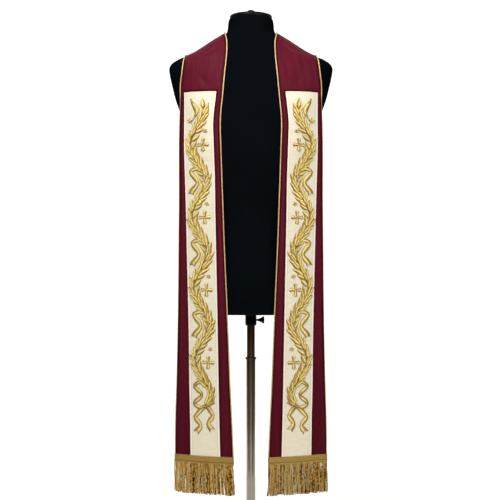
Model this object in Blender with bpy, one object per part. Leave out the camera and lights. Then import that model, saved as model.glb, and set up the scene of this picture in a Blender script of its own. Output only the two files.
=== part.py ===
"""A clerical stole worn on a headless dress form that stands on a pole.

Frame: metres, +Z up, the wearer faces -Y, the origin is on the floor under the pole.
The wearer's left is +X. Each cloth piece is a thin closed wall, and what lies on a
panel is made from that panel's own points, moved out along its normals.
"""
import math

import bmesh
import bpy
from mathutils import Vector
from mathutils.bvhtree import BVHTree

# ---------------------------------------------------------------- driving dimensions
TORSO_BOTTOM = 0.7944
TORSO_BORE_TOP = 1.020
TORSO_SIDES = 44

CAP_BOTTOM = 1.6143
CAP_TOP = 1.6250
CAP_RADIUS = 0.0592
KNOB_RADIUS = 0.0110
KNOB_TOP = 1.6420

BASE_RADIUS = 0.180
BASE_THICKNESS = 0.006
BOSS_RADIUS = 0.024
BOSS_TOP = 0.034
LOWER_TUBE_RADIUS = 0.0125
LOWER_TUBE_BORE = 0.0116
LOWER_TUBE_TOP = 0.6645
FERRULE_RADIUS = 0.0154
FERRULE_BORE = 0.0116
FERRULE_TOP = 0.6705
UPPER_TUBE_RADIUS = 0.0111
UPPER_TUBE_BORE = 0.0096
UPPER_TUBE_BOTTOM = 0.420
UPPER_TUBE_TOP = 0.920
SOCKET_RADIUS = 0.0159
SOCKET_BOTTOM = 0.7585
SCREW_HEIGHT = 0.7743
SCREW_SHANK = 0.0027
SCREW_HOLE = 0.0032
SCREW_TIP = 0.0115
SCREW_CONE = 0.0180
SCREW_HEAD_IN = 0.0314
SCREW_HEAD_OUT = 0.0375
SCREW_HEAD_RADIUS = 0.0098
TURNED_SIDES = 24

SEAM = 0.0003
CLOTH_GAP = 0.0016
BAND_WALL = 0.0020
ORPHREY_WALL = 0.0010
RELIEF_WALL = 0.0016
RELIEF_GAP = 0.0008
BOW = 0.0050
RIDGE_STATION = 4.0
BOW_FULL_AFTER = 4.0
CLEARING_PASSES = 4
PIPING_RADIUS = 0.0021
PIPING_SIDES = 5
PIPING_GAP = 0.0020
PIPING_CENTRE = 0.0028
OUTER_PIPING_SET_BACK = 0.0012

STRANDS = 52
STRAND_DEPTH = 0.0030
STRAND_FILL = 0.74
FRINGE_HEADER_WALL = 0.0032
FRINGE_HEADER_OVERHANG = 0.0030
FRINGE_BOTTOM = 0.3090
FRINGE_UNEVEN = 0.0028
STRAND_SWAY = 0.0012
STRAND_TAPER = 0.9

CROSS_SPAN = 0.030
CROSS_ARM = 0.0095

# One row for each level of the dress form, from the neck down. The power is that of
# a super-ellipse: 2 is an ellipse, more is squarer.
TORSO_COLUMNS = ("height", "half_width", "front", "back", "power")
TORSO = (
    (1.6140, 0.0600, 0.0600, 0.0600, 2.1),
    (1.6100, 0.0622, 0.0622, 0.0615, 2.1),
    (1.6000, 0.0637, 0.0637, 0.0628, 2.1),
    (1.5880, 0.0649, 0.0648, 0.0645, 2.1),
    (1.5780, 0.0670, 0.0658, 0.0672, 2.1),
    (1.5690, 0.0745, 0.0664, 0.0687, 2.1),
    (1.5605, 0.0900, 0.0667, 0.0702, 2.1),
    (1.5480, 0.1115, 0.0677, 0.0722, 2.1),
    (1.5340, 0.1335, 0.0700, 0.0745, 2.1),
    (1.5190, 0.1575, 0.0735, 0.0785, 2.1),
    (1.5085, 0.1745, 0.0768, 0.0820, 2.1),
    (1.5050, 0.1930, 0.0782, 0.0838, 2.1),
    (1.4990, 0.2075, 0.0805, 0.0857, 2.1),
    (1.4890, 0.2222, 0.0835, 0.0890, 2.1),
    (1.4765, 0.2285, 0.0873, 0.0928, 2.1),
    (1.4620, 0.2275, 0.0915, 0.0970, 2.1),
    (1.4450, 0.2243, 0.0960, 0.1010, 2.1),
    (1.4180, 0.2178, 0.1010, 0.1060, 2.15),
    (1.3850, 0.2092, 0.1060, 0.1100, 2.2),
    (1.3450, 0.1950, 0.1130, 0.1120, 2.3),
    (1.3000, 0.1830, 0.1180, 0.1120, 2.35),
    (1.2400, 0.1780, 0.1190, 0.1080, 2.35),
    (1.1700, 0.1720, 0.1150, 0.1010, 2.3),
    (1.1000, 0.1630, 0.1070, 0.0930, 2.25),
    (1.0400, 0.1600, 0.1020, 0.0900, 2.2),
    (0.9800, 0.1640, 0.1020, 0.0940, 2.2),
    (0.9200, 0.1710, 0.1050, 0.1020, 2.25),
    (0.8650, 0.1750, 0.1080, 0.1080, 2.3),
    (0.8200, 0.1740, 0.1075, 0.1080, 2.3),
    (0.7974, 0.1725, 0.1060, 0.1065, 2.3),
    (0.7944, 0.1700, 0.1035, 0.1040, 2.3),
)

# The band's two edges on the wearer's left, from the centre-back seam over the
# shoulder to the hem. piece_rows is how many rows of the mesh follow each station.
BAND_COLUMNS = ("inner_x", "inner_y", "inner_z", "outer_x", "outer_y", "outer_z", "piece_rows")
BAND = (
    (0.0000, 0.0810, 1.5370, 0.0000, 0.1190, 1.4040, 3),
    (0.0280, 0.0780, 1.5430, 0.0580, 0.1160, 1.4280, 3),
    (0.0540, 0.0580, 1.5570, 0.1100, 0.0980, 1.4610, 3),
    (0.0665, 0.0300, 1.5690, 0.1530, 0.0580, 1.4930, 3),
    (0.0700, 0.0000, 1.5733, 0.1750, 0.0000, 1.5095, 3),
    (0.0695, -0.0320, 1.5640, 0.1770, -0.0360, 1.4995, 3),
    (0.0685, -0.0620, 1.5390, 0.1816, -0.0520, 1.4800, 3),
    (0.0691, -0.0800, 1.5000, 0.1858, -0.0560, 1.4540, 3),
    (0.0736, -0.0935, 1.4530, 0.1891, -0.0560, 1.4290, 3),
    (0.0785, -0.1030, 1.3973, 0.1901, -0.0535, 1.4010, 3),
    (0.0845, -0.1085, 1.3200, 0.1935, -0.0500, 1.3200, 3),
    (0.0833, -0.1120, 1.2550, 0.1950, -0.0500, 1.2550, 3),
    (0.0803, -0.1130, 1.1600, 0.1947, -0.0500, 1.1600, 2),
    (0.0779, -0.1130, 1.0950, 0.1947, -0.0505, 1.0950, 2),
    (0.0747, -0.1125, 1.0000, 0.1957, -0.0510, 1.0000, 2),
    (0.0691, -0.1120, 0.8680, 0.1965, -0.0515, 0.8680, 2),
    (0.0635, -0.1105, 0.7390, 0.1980, -0.0525, 0.7390, 2),
    (0.0587, -0.1085, 0.6100, 0.2009, -0.0535, 0.6100, 2),
    (0.0539, -0.1065, 0.5130, 0.2042, -0.0545, 0.5130, 2),
    (0.0496, -0.1052, 0.4113, 0.2050, -0.0549, 0.4113, 1),
    (0.0485, -0.1050, 0.3893, 0.2050, -0.0550, 0.3893, 1),
)
ORPHREY_FIRST_STATION = 9
HEADER_FIRST_STATION = 19

# Where the cream orphrey's two edges cross the band, as shares of its width, against
# the band's station number.
ORPHREY_COLUMNS = ("station", "inner_share", "outer_share")
ORPHREY = (
    (0.0, 0.122, 0.897),
    (9.0, 0.122, 0.897),
    (10.0, 0.130, 0.873),
    (11.0, 0.129, 0.872),
    (12.0, 0.131, 0.851),
    (13.0, 0.140, 0.836),
    (14.0, 0.148, 0.815),
    (15.0, 0.164, 0.792),
    (16.0, 0.180, 0.770),
    (17.0, 0.190, 0.753),
    (18.0, 0.199, 0.730),
    (20.0, 0.211, 0.721),
)
ORPHREY_CELLS = 5
SMOOTHING_PASSES = 6

# The embroidered garland: its stem waves evenly up the orphrey's middle, from the knot
# at its foot, and a cross stands in each bay on its inner side. Metres down are from
# the orphrey's top edge, and metres across are from its middle, outwards.
GARLAND_TOP = 0.016
GARLAND_KNOT = 0.850
FIRST_BEND = 0.143
WAVE_LENGTH = 0.1943
WAVE_REACH = 0.0205
KNOT_DRAW = 0.0070
KNOT_DRAW_LENGTH = 0.055
STEM_SAMPLES = 160
LEAF_SWELL = (0.0, 0.9, 0.8)
GARLAND_LEAF_PITCH = 0.0215
GARLAND_STEM_HALF = 0.0030
GARLAND_LEAF_HALF = 0.0110
RELIEF_TOP_SHARE = 0.72
CROSSES = 4
CROSS_PITCH = 0.1963
CROSS_ACROSS = -0.0137
CROSS_ROOT_SHARE = 0.35


# ---------------------------------------------------------------- tools
def clear_scene():
    """Removes what a new file starts with."""
    for thing in list(bpy.data.objects):
        bpy.data.objects.remove(thing, do_unlink=True)


def finish(name, colour, roughness, metallic):
    """A Principled material with one plain colour."""
    material = bpy.data.materials.new(name)
    material.use_nodes = True
    shader = material.node_tree.nodes["Principled BSDF"]
    shader.inputs["Base Color"].default_value = (*colour, 1.0)
    shader.inputs["Roughness"].default_value = roughness
    shader.inputs["Metallic"].default_value = metallic
    return material


def keep(name, bm, material, smooth_angle=35.0):
    """Turn a closed bmesh into a named object."""
    bmesh.ops.recalc_face_normals(bm, faces=bm.faces)
    mesh = bpy.data.meshes.new(name)
    bm.to_mesh(mesh)
    bm.free()
    mesh.materials.append(material)
    mesh.shade_smooth()
    mesh.set_sharp_from_angle(angle=math.radians(smooth_angle))
    thing = bpy.data.objects.new(name, mesh)
    bpy.context.collection.objects.link(thing)
    return thing


def smooth_row(table, place):
    """The table's row at a fractional index, on a Catmull-Rom curve through its rows."""
    last = len(table) - 1
    start = min(int(place), last - 1)
    step = place - start
    rows = [table[min(max(start + offset, 0), last)] for offset in (-1, 0, 1, 2)]
    return tuple(
        b + 0.5 * step * (c - a + step * (2 * a - 5 * b + 4 * c - d + step * (3 * (b - c) + d - a)))
        for a, b, c, d in zip(*rows))


def straight_row(table, key):
    """The table's row at a key in its first column, on straight lines between rows."""
    for low, high in zip(table, table[1:]):
        if key <= high[0]:
            share = (key - low[0]) / (high[0] - low[0])
            return tuple(a + share * (b - a) for a, b in zip(low, high))
    return table[-1]


def loft(bm, rings, closed_round=True, cap=True):
    """Quads between rings of points, with the two end rings filled."""
    loops = [[bm.verts.new(point) for point in ring] for ring in rings]
    count = len(loops[0])
    for low, high in zip(loops, loops[1:]):
        for k in range(count if closed_round else count - 1):
            n = (k + 1) % count
            bm.faces.new((low[k], low[n], high[n], high[k]))
    if cap:
        bm.faces.new(list(reversed(loops[0])))
        bm.faces.new(loops[-1])
    return loops


def turned(name, profile, material, sides=TURNED_SIDES, axis="Z", place=(0.0, 0.0, 0.0)):
    """A body of revolution. The profile is (radius, distance along the axis), a closed
    outline for a ring, or one that starts and ends on the axis for a solid."""
    solid = profile[0][0] == 0.0
    bm = bmesh.new()

    def at(radius, along, turn):
        side, up = radius * math.cos(turn), radius * math.sin(turn)
        spun = (side, up, along) if axis == "Z" else (along, side, up)
        return Vector(place) + Vector(spun)

    turns = [2.0 * math.pi * k / sides for k in range(sides)]
    stations = profile[1:-1] if solid else profile
    loops = [[bm.verts.new(at(radius, along, turn)) for turn in turns] for radius, along in stations]
    pairs = list(zip(loops, loops[1:]))
    if not solid:
        pairs.append((loops[-1], loops[0]))
    for low, high in pairs:
        for k in range(sides):
            n = (k + 1) % sides
            bm.faces.new((low[k], low[n], high[n], high[k]))
    if solid:
        bm.faces.new(list(reversed(loops[0])))
        bm.faces.new(loops[-1])
    return keep(name, bm, material)


# ---------------------------------------------------------------- the stand
def build_stand(steel, plastic):
    """The base, the two tubes with their ferrule, the socket under the form and its screw."""
    turned("base_plate", (
        (0.0, 0.0), (BASE_RADIUS, 0.0),
        (BASE_RADIUS, BASE_THICKNESS - 0.0015), (BASE_RADIUS - 0.0015, BASE_THICKNESS),
        (BOSS_RADIUS + 0.005, BASE_THICKNESS), (BOSS_RADIUS, BASE_THICKNESS + 0.005),
        (BOSS_RADIUS - 0.001, BOSS_TOP - 0.002), (BOSS_RADIUS - 0.003, BOSS_TOP),
        (LOWER_TUBE_RADIUS + SEAM, BOSS_TOP), (LOWER_TUBE_RADIUS + SEAM, BASE_THICKNESS),
        (0.0, BASE_THICKNESS)), steel, sides=36)
    turned("lower_tube", (
        (LOWER_TUBE_RADIUS, BASE_THICKNESS + SEAM), (LOWER_TUBE_RADIUS, LOWER_TUBE_TOP - SEAM),
        (LOWER_TUBE_BORE, LOWER_TUBE_TOP - SEAM), (LOWER_TUBE_BORE, BASE_THICKNESS + SEAM)), steel)
    turned("tube_ferrule", (
        (FERRULE_BORE, LOWER_TUBE_TOP), (FERRULE_RADIUS - 0.0008, LOWER_TUBE_TOP),
        (FERRULE_RADIUS, LOWER_TUBE_TOP + 0.0008), (FERRULE_RADIUS, FERRULE_TOP - 0.0015),
        (FERRULE_RADIUS - 0.0015, FERRULE_TOP), (FERRULE_BORE, FERRULE_TOP)), steel)
    turned("upper_tube", (
        (UPPER_TUBE_RADIUS, UPPER_TUBE_BOTTOM), (UPPER_TUBE_RADIUS, UPPER_TUBE_TOP),
        (UPPER_TUBE_BORE, UPPER_TUBE_TOP), (UPPER_TUBE_BORE, UPPER_TUBE_BOTTOM)), steel)
    socket = turned("socket", (
        (LOWER_TUBE_BORE, SOCKET_BOTTOM), (SOCKET_RADIUS - 0.003, SOCKET_BOTTOM),
        (SOCKET_RADIUS - 0.0009, SOCKET_BOTTOM + 0.0009), (SOCKET_RADIUS, SOCKET_BOTTOM + 0.003),
        (SOCKET_RADIUS, TORSO_BOTTOM - SEAM), (LOWER_TUBE_BORE, TORSO_BOTTOM - SEAM)), plastic)
    cutter = turned("screw_hole_cutter", (
        (0.0, 0.008), (SCREW_HOLE, 0.008), (SCREW_HOLE, 0.024), (0.0, 0.024)),
        plastic, sides=12, axis="X", place=(0.0, 0.0, SCREW_HEIGHT))
    cutter.hide_render = True
    cutter.display_type = "WIRE"
    hole = socket.modifiers.new("screw hole", "BOOLEAN")
    hole.operation = "DIFFERENCE"
    hole.object = cutter
    hole.solver = "EXACT"
    turned("thumb_screw", (
        (0.0, SCREW_TIP), (SCREW_SHANK, SCREW_TIP), (SCREW_SHANK, SCREW_CONE),
        (SCREW_SHANK + 0.0006, SCREW_CONE + 0.001), (0.0062, SCREW_HEAD_IN - 0.002),
        (SCREW_HEAD_RADIUS - 0.001, SCREW_HEAD_IN), (SCREW_HEAD_RADIUS, SCREW_HEAD_IN + 0.001),
        (SCREW_HEAD_RADIUS, SCREW_HEAD_OUT - 0.001), (SCREW_HEAD_RADIUS - 0.001, SCREW_HEAD_OUT),
        (0.0, SCREW_HEAD_OUT)), plastic, sides=16, axis="X", place=(0.0, 0.0, SCREW_HEIGHT))


# ---------------------------------------------------------------- the dress form
def torso_ring(row):
    """Points round one level of the form, a super-ellipse with its own front and back."""
    height, half_width, front, back, power = row
    points = []
    for k in range(TORSO_SIDES):
        turn = 2.0 * math.pi * k / TORSO_SIDES
        across, along = math.cos(turn), math.sin(turn)
        depth = back if along > 0.0 else front
        points.append(Vector((
            half_width * math.copysign(abs(across) ** (2.0 / power), across),
            depth * math.copysign(abs(along) ** (2.0 / power), along),
            height)))
    return points


def bore_ring(height):
    """Points round the blind bore that takes the pole, one for each point of a torso ring."""
    turns = [2.0 * math.pi * k / TORSO_SIDES for k in range(TORSO_SIDES)]
    return [Vector((LOWER_TUBE_BORE * math.cos(t), LOWER_TUBE_BORE * math.sin(t), height)) for t in turns]


def build_form(jersey, plastic):
    """The padded torso and its neck cap. Gives back the torso's surface for the cloth."""
    bm = bmesh.new()
    rings = [torso_ring(row) for row in TORSO]
    rings += [bore_ring(TORSO_BOTTOM), bore_ring(TORSO_BORE_TOP)]
    loft(bm, rings)
    torso = keep("torso", bm, jersey)
    turned("neck_cap", (
        (0.0, CAP_BOTTOM), (CAP_RADIUS - 0.0015, CAP_BOTTOM), (CAP_RADIUS, CAP_BOTTOM + 0.0015),
        (CAP_RADIUS, CAP_TOP - 0.003), (CAP_RADIUS - 0.003, CAP_TOP),
        (KNOB_RADIUS * 0.45, CAP_TOP), (KNOB_RADIUS * 0.40, CAP_TOP + 0.004),
        (KNOB_RADIUS * 0.80, CAP_TOP + 0.008), (KNOB_RADIUS, CAP_TOP + 0.013),
        (KNOB_RADIUS * 0.75, KNOB_TOP - 0.002), (KNOB_RADIUS * 0.35, KNOB_TOP),
        (0.0, KNOB_TOP)), plastic, sides=24)
    corners = [vertex.co.copy() for vertex in torso.data.vertices]
    return BVHTree.FromPolygons(corners, [tuple(face.vertices) for face in torso.data.polygons])


# ---------------------------------------------------------------- the cloth's surface
def lift_off(form, point, clearance):
    """The point, moved out from the form where it is nearer than the clearance."""
    nearest, normal, _, _ = form.find_nearest(point)
    if (point - nearest).dot(normal) >= clearance:
        return point
    return nearest + clearance * normal


def lift_line(form, path, clearance):
    """The line of points, moved out until they and the places halfway between them clear
    the form."""
    path = [lift_off(form, point, clearance) for point in path]
    for _ in range(CLEARING_PASSES):
        for k in range(len(path) - 1):
            middle = 0.5 * (path[k] + path[k + 1])
            shift = lift_off(form, middle, clearance) - middle
            path[k] = path[k] + shift
            path[k + 1] = path[k + 1] + shift
    return path


def normals_of(grid):
    """Unit normals of a grid of points, facing away from the body."""
    last_row, last_column = len(grid) - 1, len(grid[0]) - 1
    normals = []
    for r in range(last_row + 1):
        line = []
        for c in range(last_column + 1):
            down = grid[min(r + 1, last_row)][c] - grid[max(r - 1, 0)][c]
            across = grid[r][min(c + 1, last_column)] - grid[r][max(c - 1, 0)]
            normal = down.cross(across)
            if r == 0:
                normal.x = 0.0
            line.append(normal.normalized())
        normals.append(line)
    return normals


def settle(form, grid, clearance):
    """Smooth the cloth in and out, never sideways, and lift it off the form again."""
    last_row, last_column = len(grid) - 1, len(grid[0]) - 1
    normals = normals_of(grid)
    moved = [[point.copy() for point in line] for line in grid]
    for r in range(last_row + 1):
        for c in range(last_column + 1):
            point = grid[r][c]
            if 0 < r < last_row:
                point = 0.5 * point + 0.25 * (grid[r - 1][c] + grid[r + 1][c])
            if 0 < c < last_column:
                point = 0.5 * point + 0.25 * (grid[r][c - 1] + grid[r][c + 1])
            way = normals[r][c]
            point = grid[r][c] + (point - grid[r][c]).dot(way) * way
            moved[r][c] = lift_off(form, point, clearance)
            if r == 0:
                moved[r][c].x = 0.0
    return moved


def clear_between(form, grid, clearance):
    """Moves the cloth out where the form would come through between its points."""
    for _ in range(CLEARING_PASSES):
        for r in range(len(grid) - 1):
            for c in range(len(grid[0]) - 1):
                corners = ((r, c), (r, c + 1), (r + 1, c), (r + 1, c + 1))
                for some in (corners, corners[:2], corners[::2], corners[1:3], (corners[0], corners[3])):
                    middle = sum((grid[i][j] for i, j in some), Vector()) / len(some)
                    shift = lift_off(form, middle, clearance) - middle
                    for i, j in some:
                        grid[i][j] = grid[i][j] + shift
        for c in range(len(grid[0])):
            grid[0][c].x = 0.0


def band_rows():
    """Fractional station numbers, one for each row of the cloth's mesh."""
    rows = [0.0]
    for station, line in enumerate(BAND[:-1]):
        steps = line[-1]
        rows += [station + (k + 1) / steps for k in range(steps)]
    return rows


def band_grid(form, rows):
    """The band's under face: each row runs from the inner edge, by the orphrey's columns,
    to the outer edge."""
    grid = []
    for row in rows:
        line = smooth_row(BAND, row)
        inner, outer = Vector(line[0:3]), Vector(line[3:6])
        _, low, high = straight_row(ORPHREY, row)
        shares = [0.0] + [low + (high - low) * k / ORPHREY_CELLS for k in range(ORPHREY_CELLS + 1)] + [1.0]
        grid.append([inner.lerp(outer, share) for share in shares])
    bulge = normals_of(grid)
    for r, row in enumerate(rows):
        width = (grid[r][-1] - grid[r][0]).length
        bow = BOW * min(abs(row - RIDGE_STATION) / BOW_FULL_AFTER, 1.0)
        for c in range(len(grid[r])):
            share = (grid[r][c] - grid[r][0]).length / width
            grid[r][c] += bow * 4.0 * share * (1.0 - share) * bulge[r][c]
    for _ in range(SMOOTHING_PASSES):
        grid = settle(form, grid, CLOTH_GAP)
    clear_between(form, grid, CLOTH_GAP)
    return grid


def moved_out(grid, normals, distance):
    """The grid's points, each moved out along its own normal."""
    return [[p + distance * n for p, n in zip(line, way)] for line, way in zip(grid, normals)]


def mirrored(grid, side):
    """The grid on the chosen side, with its centre-back row half a seam from the middle."""
    return [[Vector((side * max(p.x, 0.5 * SEAM), p.y, p.z)) for p in line] for line in grid]


def wall(name, under, over, material):
    """One closed wall between two grids of points with the same rows and columns. Every
    cell is split along the same diagonal, so pieces laid on each other stay parallel."""
    bm = bmesh.new()
    sheets = [[[bm.verts.new(point) for point in line] for line in grid] for grid in (under, over)]
    for low, high in zip(sheets[0], sheets[0][1:]):
        for k in range(len(low) - 1):
            bm.faces.new((low[k], low[k + 1], high[k + 1]))
            bm.faces.new((low[k], high[k + 1], high[k]))
    for low, high in zip(sheets[1], sheets[1][1:]):
        for k in range(len(low) - 1):
            bm.faces.new((high[k + 1], low[k + 1], low[k]))
            bm.faces.new((high[k], high[k + 1], low[k]))
    edges = [sheet[0] + [line[-1] for line in sheet[1:-1]] + sheet[-1][::-1]
             + [line[0] for line in sheet[-2:0:-1]] for sheet in sheets]
    for k in range(len(edges[0])):
        n = (k + 1) % len(edges[0])
        bm.faces.new((edges[0][n], edges[0][k], edges[1][k], edges[1][n]))
    return keep(name, bm, material)


# ---------------------------------------------------------------- pieces of the stole
def piping_path(grid, normals, column, neighbour, set_back, last_row):
    """The cord's centre line, just beyond one edge of the band and at half its wall."""
    path = []
    for r in range(last_row + 1):
        beyond = (grid[r][column] - grid[r][neighbour]).normalized()
        path.append(grid[r][column] + PIPING_CENTRE * beyond + (0.5 * BAND_WALL - set_back) * normals[r][column])
    return path


def piping(name, path, side, material):
    """A round cord along a path, cut flat at the centre-back seam."""
    bm = bmesh.new()
    rings = []
    for r, centre in enumerate(path):
        ahead = (path[min(r + 1, len(path) - 1)] - path[max(r - 1, 0)]).normalized()
        if r == 0:
            ahead = Vector((1.0, 0.0, 0.0))
        first = ahead.orthogonal().normalized() if r == 0 else (first - first.dot(ahead) * ahead).normalized()
        second = ahead.cross(first)
        ring = []
        for k in range(PIPING_SIDES):
            turn = 2.0 * math.pi * k / PIPING_SIDES
            point = centre + PIPING_RADIUS * (math.cos(turn) * first + math.sin(turn) * second)
            ring.append(Vector((side * max(point.x, 0.5 * SEAM), point.y, point.z)))
        rings.append(ring)
    loft(bm, rings)
    return keep(name, bm, material, smooth_angle=75.0)


def fringe(name, grid, normals, side, material):
    """The braid header, laid over the hem, with its cords drawn out of its lower edge, one
    from each of the header's cells."""
    top, bottom = len(grid) - 2, len(grid) - 1
    back = BAND_WALL + SEAM
    front = back + FRINGE_HEADER_WALL

    def along(r, share, lift):
        """A point on the header, where share 0 and 1 are its two ends past the band's edges."""
        line, way = grid[r], normals[r]
        lengths = [0.0]
        for a, b in zip(line, line[1:]):
            lengths.append(lengths[-1] + (b - a).length)
        want = share * (lengths[-1] + 2.0 * FRINGE_HEADER_OVERHANG) - FRINGE_HEADER_OVERHANG
        cell = max(k for k in range(len(line) - 1) if lengths[k] <= max(want, 0.0))
        part = (want - lengths[cell]) / (lengths[cell + 1] - lengths[cell])
        point = line[cell].lerp(line[cell + 1], part)
        normal = way[cell].lerp(way[cell + 1], min(max(part, 0.0), 1.0)).normalized()
        point = point + lift * normal
        return Vector((side * point.x, point.y, point.z))

    bm = bmesh.new()
    rings = []
    for k in range(STRANDS + 1):
        share = k / STRANDS
        rings.append([along(top, share, back), along(top, share, front),
                      along(bottom, share, front), along(bottom, share, back)])
    loops = loft(bm, rings)
    lower = [next(face for face in low[2].link_faces
                  if low[3] in face.verts and high[2] in face.verts)
             for low, high in zip(loops, loops[1:])]
    for k, face in enumerate(lower):
        corners = [vertex.co.copy() for vertex in face.verts]
        middle = sum(corners, Vector()) / 4.0
        axis = (loops[k + 1][2].co - loops[k][2].co)
        depth_way = (loops[k][2].co - loops[k][3].co).normalized()
        wide, deep = STRAND_FILL, STRAND_DEPTH / FRINGE_HEADER_WALL
        drop = middle.z - FRINGE_BOTTOM + FRINGE_UNEVEN * math.sin(2.3 * k + side) * math.cos(0.7 * k)
        sway = STRAND_SWAY * math.sin(1.9 * k + 0.6 * side)

        def ring_at(height, width_share, depth_share, shift):
            points = []
            for corner in corners:
                offset = corner - middle
                across = offset.dot(axis.normalized()) * width_share
                deepness = offset.dot(depth_way) * depth_share
                points.append(middle + across * axis.normalized() + deepness * depth_way
                              + Vector((0.0, shift, -height)))
            return points

        levels = ((0.0, wide, deep, 0.0), (drop, wide * STRAND_TAPER, deep * STRAND_TAPER, sway))
        ring = list(face.verts)
        bm.faces.remove(face)
        for height, width_share, depth_share, shift in levels:
            fresh = [bm.verts.new(point) for point in ring_at(height, width_share, depth_share, shift)]
            for n in range(4):
                m = (n + 1) % 4
                bm.faces.new((ring[n], ring[m], fresh[m], fresh[n]))
            ring = fresh
        bm.faces.new(ring)
    return keep(name, bm, material)


def orphrey_point(over, normals, first_row, down, across, lift):
    """A point laid on the orphrey: metres down from its top edge, metres across from its
    middle towards the outer edge, and metres out from the band's face."""
    travelled = 0.0
    middle = 1 + ORPHREY_CELLS / 2.0

    def at(line, column):
        cell = min(max(int(column), 1), ORPHREY_CELLS)
        return line[cell].lerp(line[cell + 1], column - cell)

    for r in range(first_row, len(over) - 1):
        step = (at(over[r + 1], middle) - at(over[r], middle)).length
        if travelled + step >= down or r == len(over) - 2:
            break
        travelled += step
    part = (down - travelled) / step
    cell_width = (over[r][ORPHREY_CELLS + 1] - over[r][1]).length / ORPHREY_CELLS
    column = middle + across / cell_width
    point = at(over[r], column).lerp(at(over[r + 1], column), part)
    normal = at(normals[r], column).lerp(at(normals[r + 1], column), part).normalized()
    return point + lift * normal


def relief_levels():
    """How far out from the band's under face a relief starts and ends."""
    under = BAND_WALL + SEAM + ORPHREY_WALL + RELIEF_GAP
    return under, under + RELIEF_WALL


def stem_spot(down):
    """The stem's middle at a depth below the orphrey's top edge, as (down, across). Its
    last stretch is drawn in towards the middle, to the knot."""
    across = WAVE_REACH * math.cos(2.0 * math.pi * (down - FIRST_BEND) / WAVE_LENGTH)
    near_knot = max(0.0, down - (GARLAND_KNOT - KNOT_DRAW_LENGTH)) / KNOT_DRAW_LENGTH
    return down, across + KNOT_DRAW * near_knot * near_knot


def garland(name, place, side, material):
    """The stem with its leaves as one low relief: a band whose edges swell at each leaf."""
    depth = GARLAND_KNOT - GARLAND_TOP
    line = [stem_spot(GARLAND_TOP + depth * k / STEM_SAMPLES) for k in range(STEM_SAMPLES + 1)]
    lengths = [0.0]
    for a, b in zip(line, line[1:]):
        lengths.append(lengths[-1] + math.dist(a, b))
    leaves = round(lengths[-1] / GARLAND_LEAF_PITCH)
    rows = leaves * len(LEAF_SWELL)
    under, over = relief_levels()
    bm = bmesh.new()
    rings = []
    for k in range(rows + 1):
        want = lengths[-1] * k / rows
        cell = min(max(n for n in range(len(line)) if lengths[n] <= want), len(line) - 2)
        part = (want - lengths[cell]) / (lengths[cell + 1] - lengths[cell])
        down, across = (a + part * (b - a) for a, b in zip(line[cell], line[cell + 1]))
        ahead = Vector((line[cell + 1][0] - line[cell][0], line[cell + 1][1] - line[cell][1])).normalized()
        swell = LEAF_SWELL[k % len(LEAF_SWELL)]
        half = GARLAND_STEM_HALF + (GARLAND_LEAF_HALF - GARLAND_STEM_HALF) * swell
        ring = []
        crown = RELIEF_TOP_SHARE * half
        for reach, level in ((-half, under), (half, under), (crown, over), (-crown, over)):
            point = place(down - reach * ahead.y, across + reach * ahead.x, level)
            ring.append(Vector((side * point.x, point.y, point.z)))
        rings.append(ring)
    loft(bm, rings)
    return keep(name, bm, material)


def cross(name, place, spot, side, material):
    """A Greek cross with arms that widen a little towards their ends."""
    reach, root, tip = 0.5 * CROSS_SPAN, CROSS_ROOT_SHARE * CROSS_ARM, 0.5 * CROSS_ARM
    outline = []
    for quarter in range(4):
        turn = math.pi / 2.0 * quarter
        for x, y in ((reach, -tip), (reach, tip), (root, root)):
            outline.append((x * math.cos(turn) - y * math.sin(turn),
                            x * math.sin(turn) + y * math.cos(turn)))
    bm = bmesh.new()
    rings = []
    for level in relief_levels():
        points = [place(spot[0] + y, spot[1] + x, level) for x, y in outline]
        rings.append([Vector((side * point.x, point.y, point.z)) for point in points])
    loft(bm, rings)
    return keep(name, bm, material)


def build_stole(form, burgundy, cream, gold):
    """All cloth pieces of the stole, the wearer's left first and then its mirror image."""
    rows = band_rows()
    under = band_grid(form, rows)
    normals = normals_of(under)
    over = moved_out(under, normals, BAND_WALL)
    first_row = rows.index(float(ORPHREY_FIRST_STATION))
    header_row = rows.index(float(HEADER_FIRST_STATION))
    panel = slice(1, ORPHREY_CELLS + 2)

    def place(down, across, lift):
        return orphrey_point(under, normals, first_row, down, across, lift)

    for label, side in (("left", 1.0), ("right", -1.0)):
        wall("stole_" + label, mirrored(under, side), mirrored(over, side), burgundy)
        low = [line[panel] for line in moved_out(under, normals, BAND_WALL + SEAM)[first_row:header_row + 1]]
        high = [line[panel] for line in
                moved_out(under, normals, BAND_WALL + SEAM + ORPHREY_WALL)[first_row:header_row + 1]]
        low[-1] = [point + Vector((0.0, 0.0, SEAM)) for point in low[-1]]
        high[-1] = [point + Vector((0.0, 0.0, SEAM)) for point in high[-1]]
        wall("orphrey_" + label, mirrored(low, side), mirrored(high, side), cream)
        inner = piping_path(under, normals, 0, 1, 0.0, header_row)
        outer = piping_path(under, normals, -1, -2, OUTER_PIPING_SET_BACK, header_row)
        clearance = PIPING_RADIUS + PIPING_GAP
        for kind, path in (("inner", inner), ("outer", outer)):
            path = lift_line(form, path, clearance)
            path[-1] = path[-1] + Vector((0.0, 0.0, 2.0 * SEAM))
            piping("piping_" + kind + "_" + label, path, side, gold)
        fringe("fringe_" + label, under, normals, side, gold)
        garland("garland_" + label, place, side, gold)
        for number in range(CROSSES):
            spot = (FIRST_BEND + number * CROSS_PITCH, CROSS_ACROSS)
            cross("cross_" + label + "_" + str(number + 1), place, spot, side, gold)


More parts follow.
